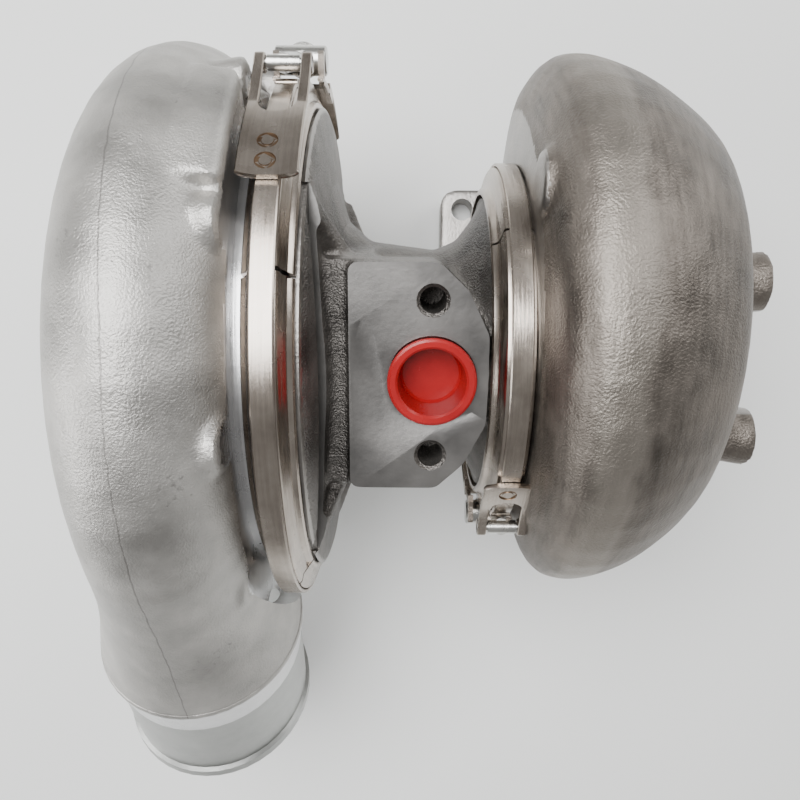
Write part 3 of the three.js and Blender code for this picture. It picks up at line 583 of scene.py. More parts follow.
def repeated(name, part, count, look, start=0.0):
    """One mesh of a part repeated round the shaft; the single part isn't kept."""
    made = piece(name)
    pattern = made.modifiers.new("pattern", "NODES")
    pattern.node_group = ROUND_THE_SHAFT
    values = {"Part": part, "Count": count, "Start": math.radians(-start), "Shaft": SHAFT, "Finish": look}
    for item in ROUND_THE_SHAFT.interface.items_tree:
        if item.in_out == "INPUT" and item.name in values:
            pattern[item.identifier] = values[item.name]
    settle(made)
    bpy.data.objects.remove(part)
    return crisp(made)


thrust_plate = piece("thrust_plate", sleeve(-29, -26.8, 7.3, 24.2))
work(thrust_plate, "DIFFERENCE", *pegs(range(0, 360, 120), (-30, 19.5), (-25, 19.5), 2.1, sides=20))
fit(paint(thrust_plate, bronze), "housing", "bearing_bronze", "thrust_bearing")
thrust_screw = piece(
    "thrust_screw", rod(around(-29.6, 19.5, 0), around(-21.3, 19.5, 0), 1.7, sides=20),
    rod(around(-31, 19.5, 0), around(-29.4, 19.5, 0), 3, sides=6),
)
thrust_screws = repeated("thrust_screws", thrust_screw, 3, turned_steel)
fit(thrust_screws, "housing", "steel", *[f"thrust_bearing_screw_{i}" for i in (1, 2, 3)])

# ---- seal plate and heat shield
# A turned aluminium disc closes the bearing housing behind the compressor wheel, held by four countersunk
# screws. On the hot side a thin pressed steel dish stands between the casting and the turbine wheel.

turned_aluminium = finish(
    "turned_aluminium", (0.50, 0.50, 0.51), (0.74, 0.74, 0.74), (0.22, 0.36), grain=0.05, marks=0.3
)
seal_plate = piece("seal_plate_disc", turned([
    (-40.1, 10.1), (-40.1, 78.6), (-39.7, 79), (-37.1, 79), (-37.1, 29.6), (-34.3, 29.6), (-34, 29.3),
    (-34, 9.9),
]))
SCREW_ANGLES = range(45, 405, 90)
screw_seats = pegs(SCREW_ANGLES, (-40.5, 38), (-37.2, 38), 4.9, 2.8)
screw_ways = pegs(SCREW_ANGLES, (-38, 38), (-33, 38), 2.8)
work(seal_plate, "DIFFERENCE", *screw_seats, *screw_ways, sleeve(-35.9, -34.8, 27.9, 31, 0.1))
work(housing, "DIFFERENCE", *pegs(SCREW_ANGLES, (-39, 38), (-25, 38), 2.8))
fit(paint(seal_plate, turned_aluminium), "housing", "machined_aluminium", "seal_plate")
plate_screw = work(
    piece("plate_screw", rod(around(-40.1, 38, 0), around(-37.6, 38, 0), 4.4, 2.4)), "UNION",
    rod(around(-38.2, 38, 0), around(-26, 38, 0), 2.4),
)
work(plate_screw, "DIFFERENCE", rod(around(-41, 38, 0), around(-38.7, 38, 0), 2, sides=6))
plate_screws = repeated("plate_screws", plate_screw, 4, turned_steel, start=45)
fit(plate_screws, "housing", "steel", *[f"seal_plate_screw_{i}" for i in (1, 2, 3, 4)])
hot_steel = finish(
    "heat_tinted_steel", (0.30, 0.24, 0.20), (0.50, 0.45, 0.40), (0.28, 0.42), grain=0.1, marks=0.12
)
shield = piece("heat_shield_dish", turned([
    (34.8, 46.6), (34.8, 54), (36, 54), (36, 47.4), (36.6, 46.6), (37.4, 46.2), (38, 45.2), (38, 12.4),
    (37.1, 12.4),
    (37.1, 44.6), (36.6, 45.3),
]))
fit(paint(shield, hot_steel), "housing", "clamp_steel", "heat_shield")

# ---- rotor
# The cast nickel turbine wheel is welded to the ground steel shaft. The seal sleeve, thrust pieces and
# the milled aluminium compressor wheel slide on from the other end, and the nut at the nose clamps them
# all together.


def along_rows(rows, share):
    """A row of values between the given rows, bent smoothly through them."""
    at = share * (len(rows) - 1)
    i = min(int(at), len(rows) - 2)
    t = at - i
    before, first, last, after = rows[max(i - 1, 0)], rows[i], rows[i + 1], rows[min(i + 2, len(rows) - 1)]
    return [
        0.5 * (2 * b + (c - a) * t + (2 * a - 5 * b + 4 * c - d) * t * t + (3 * b - a - 3 * c + d) * t ** 3)
        for a, b, c, d in zip(before, first, last, after)
    ]


def blade(rows, root, tip, steps=20, levels=6):
    """A twisted blade, from rows of hub place and radius, tip place and radius, lean and twist."""
    rings = []
    for step in range(steps + 1):
        low_x, low_r, high_x, high_r, lean, gain = along_rows(rows, step / steps)
        near, far = [], []
        for level in range(levels + 1):
            t = level / levels
            radius = low_r + (high_r - low_r) * t
            half = math.degrees((root + (tip - root) * t) / 2 / radius)
            spot = (low_x + (high_x - low_x) * t, radius)
            near.append(around(*spot, lean + gain * t - half))
            far.append(around(*spot, lean + gain * t + half))
        rings.append(near + far[::-1])
    return loft(rings)


def bladed(name, hub, count, rows, root, tip, look):
    """A wheel: the hub with full blades, all one body."""
    made = piece(name, hub)
    for part_rows, start in rows:
        ring = repeated("blades", piece("blade", blade(part_rows, root, tip)), count, look, start)
        step = made.modifiers.new("blades", "BOOLEAN")
        step.operation, step.solver, step.object = "UNION", "MANIFOLD", ring
        settle(made)
        bpy.data.objects.remove(ring)
    return paint(crisp(made), look)


milled_aluminium = finish(
    "milled_aluminium", (0.52, 0.52, 0.53), (0.78, 0.78, 0.78), (0.18, 0.3), size=500, grain=0.08
)
full_blade = [
    (-84.6, 7, -84, 31, -8, 14), (-77, 8.4, -77, 31.1, 14, 8), (-70, 10.5, -70, 31.4, 31, 5),
    (-62, 14.2, -63, 32.8, 47, 2),
    (-54, 21.2, -56, 36, 58, 0), (-47.5, 31, -50, 40.8, 66, 0), (-42.4, 44.8, -45.4, 46, 73, 0),
]
compressor_wheel = bladed(
    "compressor_wheel_milled",
    turned([(-86, 4.4), (-86, 7.6), (-85.6, 8), (-78, 9.4), (-68, 12.5), (-58, 18.5), (-50, 28),
        (-45.5, 36.5), (-42.4, 45.7),
            (-42, 46), (-41.2, 46), (-41, 45.8), (-41, 4.4)]),
    6, [(full_blade, 0), (full_blade[2:], 30)], 1.9, 0.9, milled_aluminium,
)
fit(compressor_wheel, "rotor", "machined_aluminium", "compressor_wheel")
nose_nut = piece("nose_nut", rod((-91.6, 0, 0), (-86.3, 0, 0), 7.5, sides=6))
work(
    nose_nut, "INTERSECT",
    turned([(-91.6, 0), (-91.6, 6.2), (-90.2, 7.5), (-87, 7.6), (-86.3, 7), (-86.3, 0)])
)
work(nose_nut, "DIFFERENCE", rod((-95, 0, 0), (-85, 0, 0), 4.4))
fit(paint(nose_nut, turned_steel), "rotor", "steel", "shaft_nut")
for label, outline in (
    (
        "seal_sleeve",
        [
            (-40.7, 4.35), (-40.7, 9.2), (-37.1, 9.2), (-37.1, 8), (-35.5, 8), (-35.5, 9.2), (-31, 9.2),
            (-31, 4.35)
        ]
    ),
    ("thrust_collar", [(-30.7, 4.35), (-30.7, 13), (-29.4, 13), (-29.4, 6.5), (-26.7, 6.5), (-26.7, 4.35)]),
    ("thrust_washer", [(-26.4, 4.35), (-26.4, 13), (-24.3, 13), (-24.3, 4.35)]),
):
    fit(paint(piece(label + "_turned", turned(outline, sides=72)), turned_steel), "rotor", "steel", label)

cast_nickel = finish(
    "cast_nickel_alloy", (0.22, 0.19, 0.17), (0.42, 0.38, 0.34), (0.36, 0.52), size=1200, grain=0.3
)
turbine_blade = [
    (39.2, 33, 39.6, 42.3, 0, 0), (42.6, 27, 45, 42.4, 1, 0), (47, 20.5, 50.5, 41.4, 4, 0),
    (53, 15.5, 57, 38.6, 11, 2),
    (61, 12, 64, 36.4, 24, 6), (70, 9.6, 71, 35.2, 38, 12),
]
turbine_wheel = bladed(
    "turbine_wheel_on_its_shaft",
    turned([
        (-95, 0), (-95, 3.6), (-94.6, 4), (-24, 4), (-24, 7.8), (-23.8, 8), (25.9, 8), (26.3, 10.6),
        (29.8, 10.6), (29.8, 9.3),
        (31.6, 9.3), (31.6, 10.6), (36.5, 10.6), (38.7, 12), (38.7, 36), (39.2, 36.6), (40, 36.5), (42, 31),
        (46, 24), (51, 18.6),
        (56, 15.4), (62, 13), (68, 11.5), (71, 10.8), (72, 8.6), (78.4, 8), (79, 7.2), (79, 0),
    ]),
    10, [(turbine_blade, 0)], 2.4, 1.4, cast_nickel,
)
fit(turbine_wheel, "rotor", "turbine_alloy", "turbine_wheel_and_shaft")


# ---- compressor cover
# One aluminium sand casting: the scroll grows round the wheel and leaves as a straight pipe with a
# machined spigot. It sits on the seal plate, and its V-shaped rim is drawn against the bearing housing by
# the clamp.

SCROLL_X = -72
SCROLL_END = -40
CLAMP_SLOT = -47.5
cover_side = COMPRESSOR_JOINT - 0.15
cast_aluminium = finish(
    "aluminium_as_cast", (0.33, 0.32, 0.305), (0.56, 0.545, 0.52), (0.38, 0.52), metal=0.9, size=1500,
    lumps=0.7, grain=0.42,
)
spigot_aluminium = finish(
    "aluminium_spigot", (0.34, 0.345, 0.335), (0.50, 0.51, 0.495), (0.34, 0.48), metal=0.9, size=500,
    lumps=0.2, grain=0.12,
)


def mould_line(made):
    """Darkens the thin line where the mould's halves met, and a few knocks and smudges round it."""
    tree = made.node_tree
    shader = tree.nodes["Principled BSDF"]
    colour = shader.inputs["Base Color"].links[0].from_socket
    place = node(tree, "ShaderNodeTexCoord")
    ragged = node(
        tree, "ShaderNodeTexNoise", {"Vector": place.outputs["Object"], "Scale": 170, "Detail": 3}
    )
    offset = node(
        tree, "ShaderNodeVectorMath", {0: place.outputs["Object"], 1: SHAFT}, operation="SUBTRACT"
    )
    split = node(tree, "ShaderNodeSeparateXYZ", {0: offset.outputs[0]})
    higher = maths(tree, "MAXIMUM", split.outputs["Y"], 0.0)
    lean = maths(tree, "MULTIPLY_ADD", higher, 0.07, split.outputs["X"])
    wander = maths(tree, "MULTIPLY_ADD", ragged.outputs["Fac"], 0.0012, lean)
    away = maths(tree, "SUBTRACT", wander, SCROLL_X * MM + 0.0006)
    apart = maths(tree, "ABSOLUTE", away)
    line = node(
        tree, "ShaderNodeMapRange",
        {"Value": apart, "From Min": 0.00010, "From Max": 0.00034, "To Min": 1, "To Max": 0}
    )
    flat = node(tree, "ShaderNodeCombineXYZ", {"Y": split.outputs["Y"], "Z": split.outputs["Z"]})
    reach = node(tree, "ShaderNodeVectorMath", {0: flat.outputs[0]}, operation="LENGTH")
    outside = maths(tree, "GREATER_THAN", reach.outputs["Value"], 0.088)
    seen = maths(tree, "MULTIPLY", line.outputs[0], outside)
    speckle = node(
        tree, "ShaderNodeTexNoise", {"Vector": place.outputs["Object"], "Scale": 520, "Detail": 2}
    )
    cluster = node(
        tree, "ShaderNodeTexNoise", {"Vector": place.outputs["Object"], "Scale": 42, "Detail": 1}
    )
    both = maths(tree, "MULTIPLY_ADD", cluster.outputs["Fac"], 1.3, speckle.outputs["Fac"])
    smudge = node(tree, "ShaderNodeMapRange", {"Value": both, "From Min": 1.52, "From Max": 1.68})
    worst = node(tree, "ShaderNodeMath", {0: seen, 1: smudge.outputs[0]}, operation="MAXIMUM")
    share = maths(tree, "MULTIPLY", worst.outputs[0], 0.42)
    dirty = node(tree, "ShaderNodeMix", {"Factor": share}, data_type="RGBA")
    tree.links.new(colour, dirty.inputs[MIX_FIRST])
    dirty.inputs[MIX_SECOND].default_value = (0.07, 0.065, 0.06, 1)
    tree.links.new(dirty.outputs[MIX_RESULT], shader.inputs["Base Color"])
    relief = shader.inputs["Normal"].links[0].from_socket
    nick = node(
        tree, "ShaderNodeBump",
        {"Height": worst.outputs[0], "Strength": 0.2, "Distance": 0.0005, "Normal": relief}, invert=True
    )
    tree.links.new(nick.outputs["Normal"], shader.inputs["Normal"])
    return made


mould_line(cast_aluminium)


def oval(centre, outwards, across, tall, sides=44):
    """A ring of corners round a duct: half its width along the shaft and half its height outwards."""
    return [
        centre + Vector(
            (across * math.sin(math.tau * i / sides), 0, 0)
        ) + outwards * (tall * math.cos(math.tau * i / sides))
        for i in range(sides)
    ]


def scroll_rings(wall):
    """Rings round the scroll, which grows towards the pipe, inside a wall's thickness."""
    rings = []
    for i in range(49):
        turn = 0.05 + 0.935 * i / 48
        radius = max(33 * math.sqrt(turn), 11)
        angle = SCROLL_END - 360 * turn
        across = min(0.9 * radius, 25.5)
        rings.append(
            oval(around(SCROLL_X, 50 + radius, angle), around(0, 1, angle), across - wall, radius - wall)
        )
    return rings


def pipe_rings(stations, wall=0.0):
    """Rings down the outlet pipe, from rows of distance, half width and half height."""
    rings = []
    for distance, across, tall in stations:
        shift = -4.2 * distance / 128
        centre = around(SCROLL_X + shift, 83 - 3 * min(distance / 88, 1), SCROLL_END)
        centre += around(0, 1, SCROLL_END - 90) * distance
        rings.append(oval(centre, around(0, 1, SCROLL_END), across - wall, tall - wall, 44))
    return rings


def along_pipe(stations, count):
    """The pipe's rows bent smoothly into more of them."""
    last = len(stations) - 1
    return [along_rows(stations, i / count) for i in range(count + 1)]


pipe = along_pipe(
    [(0, 25.8, 33), (22, 27.2, 33.4), (44, 31, 34.8), (60, 35, 36.6), (70, 37.2, 37.4), (72, 37.2, 37.4)],
    30
)
bosses = pegs(range(18, 378, 36), (-63, 96), (CLAMP_SLOT, 97), 6, 7.4, sides=24)
pad = turned(
    [(-66, 78), (-66, 103), (-60, 106.5), (-50, 105), (CLAMP_SLOT, 103.5), (CLAMP_SLOT, 78)], sides=20,
    start=23, stop=48
)
cover = cast(
    "compressor_cover_casting", loft(scroll_rings(0) + pipe_rings(pipe)),
    turned([
        (-112, 0), (-112, 47.5), (-111, 48.5), (-105, 48.5), (-103.5, 46.5), (-92, 48), (-84, 65),
        (-73, 82), (-62, 89.5),
        (CLAMP_SLOT, 90.5), (CLAMP_SLOT, 0),
    ]),
    pad, *bosses, grain=1.3, rounds=7,
)
work(
    cover, "UNION",
    loft(pipe_rings([(66, 34, 34), (69.5, 37.3, 37.5), (71, 37.6, 37.8), (73, 37.5, 37.6), (77, 36.7, 36.8),
        (82, 36.2, 36.2),
                     (86, 36, 36), (122.4, 36, 36), (123.4, 37.4, 37.4), (127.4, 37.6, 37.6),
                     (128, 37.1, 37.1)])),
    turned([(-112, 40), (-112, 48.2), (-111.6, 48.6), (-106, 48.6), (-105.4, 47.8), (-104, 40)]),
)
work(
    cover, "DIFFERENCE",
    turned([(CLAMP_SLOT, 79), (CLAMP_SLOT, 99.2), (-47.2, 99.5), (-20, 99.5), (-20, 79)]),
    turned([(cover_side, 0), (cover_side, 84), (-20, 84), (-20, 0)]),
    loft(
        scroll_rings(4.5) + pipe_rings(
            along_pipe(
                [(0, 25.8, 33), (44, 29.2, 33.9), (64, 32.6, 35), (88, 36.4, 36.4), (130, 36.5, 36.5)], 24
            ),
            4.5
        )
    ),
)
work(cover, "UNION", turned([
    (CLAMP_SLOT - 1, 70), (CLAMP_SLOT - 1, 84), (cover_side - 5.2, 84), (cover_side - 3.9, 88.3),
    (cover_side - 3.6, 88.5),
    (cover_side - 0.3, 88.5), (cover_side, 88.2), (cover_side, 70),
]))
work(
    cover, "DIFFERENCE",
    turned([
        (-113, 0), (-113, 44), (-111.6, 43), (-104, 39), (-92, 33.2), (-88, 32.6), (-70, 32.6), (-60, 34.9),
        (-52.4, 39.7), (-47, 45.5), (-45, 48.4),
        (-45, 60), (-50, 62), (-68, 62), (-68, 74), (-50, 76), (-45, 79.4), (-30, 79.4), (-30, 0),
    ]),
    turned(
        [(cover_side - 4.2, 79), (cover_side - 4.2, 81.4), (cover_side - 1.6, 81.4), (cover_side - 1.6, 79)]
    ),
)
paint(cover, cast_aluminium, spigot_aluminium, turned_aluminium)
pipe_way = around(0, 1, SCROLL_END - 90)
pipe_start = around(SCROLL_X, 83, SCROLL_END)
machine(cover, 1, lambda middle, out: (middle - pipe_start).dot(pipe_way) > 84.5)
machine(
    cover, 2, lambda middle,
    out: 71.2 < (middle - pipe_start).dot(pipe_way) < 84.5 and out.dot(pipe_way) > 0.02
)
machine(cover, 2, lambda middle, out: middle.yz.length < 99.6 and middle.x > CLAMP_SLOT - 0.2)
machine(
    cover, 2, lambda middle, out: middle.yz.length < 45 or (middle.x < -111.2 and middle.yz.length < 60)
)
fit(cover, "housing", "cover_aluminium", "compressor_cover")

# ---- turbine housing
# A heavy iron sand casting that stands on its flange: two gas ways rise from the flange and wind round
# the wheel side by side, and the gas leaves along the shaft through the studded face. The outside was
# dressed with a grinder.

OUTLET_X = 118
ground_iron = finish(
    "iron_as_cast_and_ground", (0.085, 0.074, 0.064), (0.25, 0.222, 0.195), (0.36, 0.54), metal=0.9,
    size=1300, lumps=0.8,
    grain=0.6, marks=0.10, density=420, turns=6, streak=0.5,
)


def ground_band(made, middle, half, light):
    """Lightens a band round the shaft where the grinder went over the casting, with a broken edge."""
    tree = made.node_tree
    shader = tree.nodes["Principled BSDF"]
    colour = shader.inputs["Base Color"].links[0].from_socket
    place = node(tree, "ShaderNodeTexCoord")
    ragged = node(tree, "ShaderNodeTexNoise", {"Vector": place.outputs["Object"], "Scale": 60, "Detail": 4})
    split = node(tree, "ShaderNodeSeparateXYZ", {0: place.outputs["Object"]})
    drift = maths(tree, "MULTIPLY_ADD", ragged.outputs["Fac"], 0.012, split.outputs["X"])
    away = maths(tree, "SUBTRACT", drift, SHAFT.x + middle * MM + 0.006)
    apart = maths(tree, "ABSOLUTE", away)
    share = node(tree, "ShaderNodeMapRange", {
        "Value": apart, "From Min": (half - 2.5) * MM, "From Max": (half + 1.5) * MM, "To Min": 0.5,
        "To Max": 0,
    })
    above = node(
        tree, "ShaderNodeMapRange", {"Value": split.outputs["Z"], "From Min": 0.03, "From Max": 0.05}
    )
    kept = maths(tree, "MULTIPLY", share.outputs[0], above.outputs[0])
    ground = node(tree, "ShaderNodeMix", {"Factor": kept}, data_type="RGBA")
    tree.links.new(colour, ground.inputs[MIX_FIRST])
    ground.inputs[MIX_SECOND].default_value = (*light, 1)
    tree.links.new(ground.outputs[MIX_RESULT], shader.inputs["Base Color"])


ground_band(ground_iron, 60, 7.5, (0.36, 0.33, 0.29))
SCROLL_START = [
    (46.5, 52), (41.5, 84), (47, 100), (58, 105), (77, 100), (91, 92.5), (104, 83), (109, 74), (112, 62),
    (110, 45)
]
SCROLL_HALF = [
    (46.5, 52), (46, 74), (49.5, 84.5), (58, 88), (71, 86), (84, 79), (94, 70), (99, 62), (103, 54),
    (106, 45)
]
SCROLL_TONGUE = [
    (46.5, 52), (46.5, 66), (50, 75), (57, 78), (70, 76), (84, 70), (95, 62), (102, 56), (107, 50),
    (108, 43)
]
DUCT_FOOT = [
    (46, 2), (43, 28), (45, 54), (52, 61), (72, 63), (92, 63), (110, 61), (116, 54), (118, 28), (114, 0)
]
FOOT = -SHAFT.z / MM
footing = (-SHAFT.x / MM, -SHAFT.y / MM)


def foot_plan(half_long, half_wide):
    """A rectangle centred on the inlet flange."""
    corners = ((-1, -1), (1, -1), (1, 1), (-1, 1))
    return [(footing[0] + x * half_long, footing[1] + y * half_wide) for x, y in corners]


def between(first, last, share):
    """An outline part of the way from one to another."""
    return [[a + (b - a) * share for a, b in zip(one, other)] for one, other in zip(first, last)]


def inset(outline, wall):
    """An outline drawn in towards its middle by a wall's thickness."""
    middle = [sum(pair[k] for pair in outline) / len(outline) for k in (0, 1)]
    result = []
    for pair in outline:
        reach = math.dist(pair, middle)
        result.append([middle[k] + (pair[k] - middle[k]) * (reach - wall) / reach for k in (0, 1)])
    return result


def soft_loop(points, steps=5):
    """A closed outline bent smoothly through its points."""
    count = len(points)
    loop = [points[i % count] for i in range(-1, count + 2)]
    return [along_rows(loop, (1 + i / steps) / (len(loop) - 1)) for i in range(count * steps)]


def gas_way(foot, start, half, tongue, end_turn, soft=True):
    """Rings up the duct and round the scroll, from outlines of (along, radius) points."""
    shape = soft_loop if soft else (lambda outline: outline)
    rings = []
    for i in range(12):
        share = i / 12
        curve = share * share * (3 - 2 * share)
        level = (FOOT + 8) * (1 - share)
        rings.append([Vector((x, y, level)) for x, y in shape(between(foot, start, curve))])
    turn = 0
    while turn <= end_turn:
        outline = between(start, half, turn / 180) if turn < 180 else between(
            half, tongue, (turn - 180) / 90
        )
        rings.append([around(x, radius, 90 - turn) for x, radius in shape(outline)])
        turn += 7.5
    return rings


NECK_END = 113.5
LUG_ANGLES = [-41, 25, 139, 205]
flange_plan = rounded(foot_plan(61, 49), 9)
turbine_housing = cast(
    "turbine_housing_casting", loft(gas_way(DUCT_FOOT, SCROLL_START, SCROLL_HALF, SCROLL_TONGUE, 270)),
    turned([
        (turbine_side + 4, 0), (turbine_side + 4, 55), (46, 55.5), (52, 62), (98, 58), (107, 50),
        (111, 45.5), (NECK_END, 44.5), (NECK_END, 0),
    ]),
    slab(flange_plan, FOOT - 1.5, FOOT + 14, axis=2),
    rod(around(40.5, 80, 36), around(54, 80, 36), 9.5, 10.5),
    *pegs(LUG_ANGLES, (OUTLET_X - 20, 45), (OUTLET_X + 1.5, 48.5), 9, 10, sides=32),
    grain=1.35, rounds=6,
)
hollow = piece(
    "hollow",
    loft(
        gas_way(
            *[inset(shape, 6.8) for shape in (DUCT_FOOT, SCROLL_START, SCROLL_HALF, SCROLL_TONGUE)], 247.5
        )
    )
)
work(hollow, "UNION", slab(rounded(foot_plan(33, 25), 7),
                           FOOT - 1, FOOT + 12, axis=2))
work(hollow, "UNION", turned([(39.4, 42), (39.4, 50), (48, 51), (48, 60), (62, 60), (62, 53), (50, 44)]))
work(hollow, "DIFFERENCE", loft(gas_way(
    [(77.5, -12), (77.5, 76), (82.5, 76), (82.5, -12)], [(50.5, 54), (74, 115), (80, 115), (56, 51.5)],
    [(50.5, 54), (66, 98), (72, 98), (56, 51.5)], [(50.5, 54), (64, 88), (70, 88), (56, 51.5)], 270,
    soft=False,
)))
work(hollow, "DIFFERENCE", slab(foot_plan(2.5, 60), FOOT - 2, FOOT + 9.5, axis=2))
work(turbine_housing, "UNION", turned([
    (turbine_side + 0.3, 47), (turbine_side + 0.3, 59.7), (turbine_side + 0.6, 60), (turbine_side + 4, 60),
    (turbine_side + 4.2, 59.8), (turbine_side + 5.5, 55.4), (48, 56), (48, 47),
]))
work(
    turbine_housing, "DIFFERENCE", hollow,
    turned([
        (turbine_side - 1, 0), (turbine_side - 1, 48), (50, 48), (50, 44), (56, 41.3), (64, 38.2),
        (74, 36.7), (90, 37),
        (NECK_END - 1.2, 39.4), (NECK_END + 0.5, 41), (OUTLET_X + 3, 41), (OUTLET_X + 3, 0),
    ]),
    turned([(OUTLET_X, 0), (OUTLET_X, 66), (OUTLET_X + 4, 66), (OUTLET_X + 4, 0)]),
    slab([(-20, -60), (180, -60), (180, 120), (-20, 120)], FOOT - 6, FOOT, axis=2),
    *pegs(LUG_ANGLES, (OUTLET_X - 10, 45.5), (OUTLET_X + 1, 45.5), 3.6, sides=32),
    *[rod((footing[0] + x, footing[1] + y, FOOT - 1), (footing[0] + x, footing[1] + y, FOOT + 16), 5.5)
      for x in (-50, 50) for y in (-39, 39)],
)
paint(turbine_housing, ground_iron, iron_faced, iron_turned)
machine(turbine_housing, 1, lambda middle, out: out.z < -0.95 and middle.z < FOOT + 0.4)
machine(
    turbine_housing, 2, lambda middle,
    out: (out.x > 0.95 and middle.x > NECK_END - 0.6) or middle.yz.length < 47.8 and middle.x < OUTLET_X
)
machine(turbine_housing, 2, lambda middle, out: middle.x < turbine_side + 5.6 and middle.yz.length > 47.8)
fit(turbine_housing, "housing", "turbine_iron", "turbine_housing")

# ---- V-band clamps
# Each clamp is a thin stainless strap with rolled V segments welded inside it. A T-bolt hangs in a fork
# spot-welded to one end of the strap, and its nut draws a trunnion bar against the hooks on the other
# end.

stainless = finish(
    "rolled_stainless", (0.28, 0.24, 0.205), (0.54, 0.485, 0.43), (0.18, 0.32), size=300, grain=0.05,
    marks=0.12, density=1300, turns=5, streak=0.3,
)
weld_tint = finish(
    "spot_weld_tint", (0.10, 0.06, 0.035), (0.24, 0.16, 0.10), (0.3, 0.45), size=600, grain=0.2
)
zinc_steel = finish(
    "zinc_plated_steel", (0.40, 0.40, 0.39), (0.66, 0.65, 0.62), (0.18, 0.32), size=700, grain=0.12
)
PLATE = 1.8
HALF_LATCH = 8.8
BOLT_RADIUS = 3.0
BOLT_LENGTH = 62.2
PIN_RADIUS = 1.7
THREAD_PITCH = 0.907


def thread_tree():
    """Geometry nodes that wind a small ridge round a bolt, upright, from its foot."""
    tree = bpy.data.node_groups.new("bolt_thread", "GeometryNodeTree")
    face = tree.interface
    face.new_socket("Geometry", in_out="INPUT", socket_type="NodeSocketGeometry")
    for label in ("Length", "Radius", "Pitch", "Ridge"):
        face.new_socket(label, in_out="INPUT", socket_type="NodeSocketFloat")
    face.new_socket("Finish", in_out="INPUT", socket_type="NodeSocketMaterial")
    face.new_socket("Geometry", in_out="OUTPUT", socket_type="NodeSocketGeometry")
    given, out = tree.nodes.new("NodeGroupInput"), tree.nodes.new("NodeGroupOutput")
    turns = maths(tree, "DIVIDE", given.outputs["Length"], given.outputs["Pitch"])
    winding = node(tree, "GeometryNodeCurveSpiral", {
        "Resolution": 20, "Rotations": turns, "Start Radius": given.outputs["Radius"],
        "End Radius": given.outputs["Radius"], "Height": given.outputs["Length"],
    })
    ridge = node(
        tree, "GeometryNodeCurvePrimitiveCircle", {"Resolution": 4, "Radius": given.outputs["Ridge"]}
    )
    wound = node(
        tree, "GeometryNodeCurveToMesh",
        {"Curve": winding.outputs[0], "Profile Curve": ridge.outputs[0], "Fill Caps": True}
    )
    real = node(tree, "GeometryNodeRealizeInstances", {"Geometry": wound.outputs[0]})
    painted = node(
        tree, "GeometryNodeSetMaterial", {"Geometry": real.outputs[0], "Material": given.outputs["Finish"]}
    )
    tree.links.new(painted.outputs[0], out.inputs[0])
    return tree


BOLT_THREAD = thread_tree()


def threaded(name, start, way, length, radius, look):
    """A bolt thread from a point along a direction, in millimetres round the shaft."""
    made = piece(name)
    winding = made.modifiers.new("thread", "NODES")
    winding.node_group = BOLT_THREAD
    values = {
        "Length": length * MM, "Radius": radius * MM, "Pitch": THREAD_PITCH * MM, "Ridge": 0.42 * MM,
        "Finish": look
    }
    for item in BOLT_THREAD.interface.items_tree:
        if item.in_out == "INPUT" and item.name in values:
            winding[item.identifier] = values[item.name]
    settle(made)
    made.data.transform(
        Matrix.Translation(SHAFT + start * MM) @ way.to_track_quat("Z", "Y").to_matrix().to_4x4()
    )
    return crisp(made, 50)


def ribbon(path, thick):
    """A bent strip of sheet, from rows of (point on its underside, outward direction, low x, high x)."""
    rings = []
    round_off = 0.28 * thick
    for spot, out, low, high in path:
        section = [(low, round_off), (low, thick - round_off), (low + round_off, thick),
            (high - round_off, thick),
                   (high, thick - round_off), (high, round_off), (high - round_off, 0),
                   (low + round_off, 0)]
        rings.append([Vector((across, 0, 0)) + spot + out * height for across, height in section])
    return loft(rings)


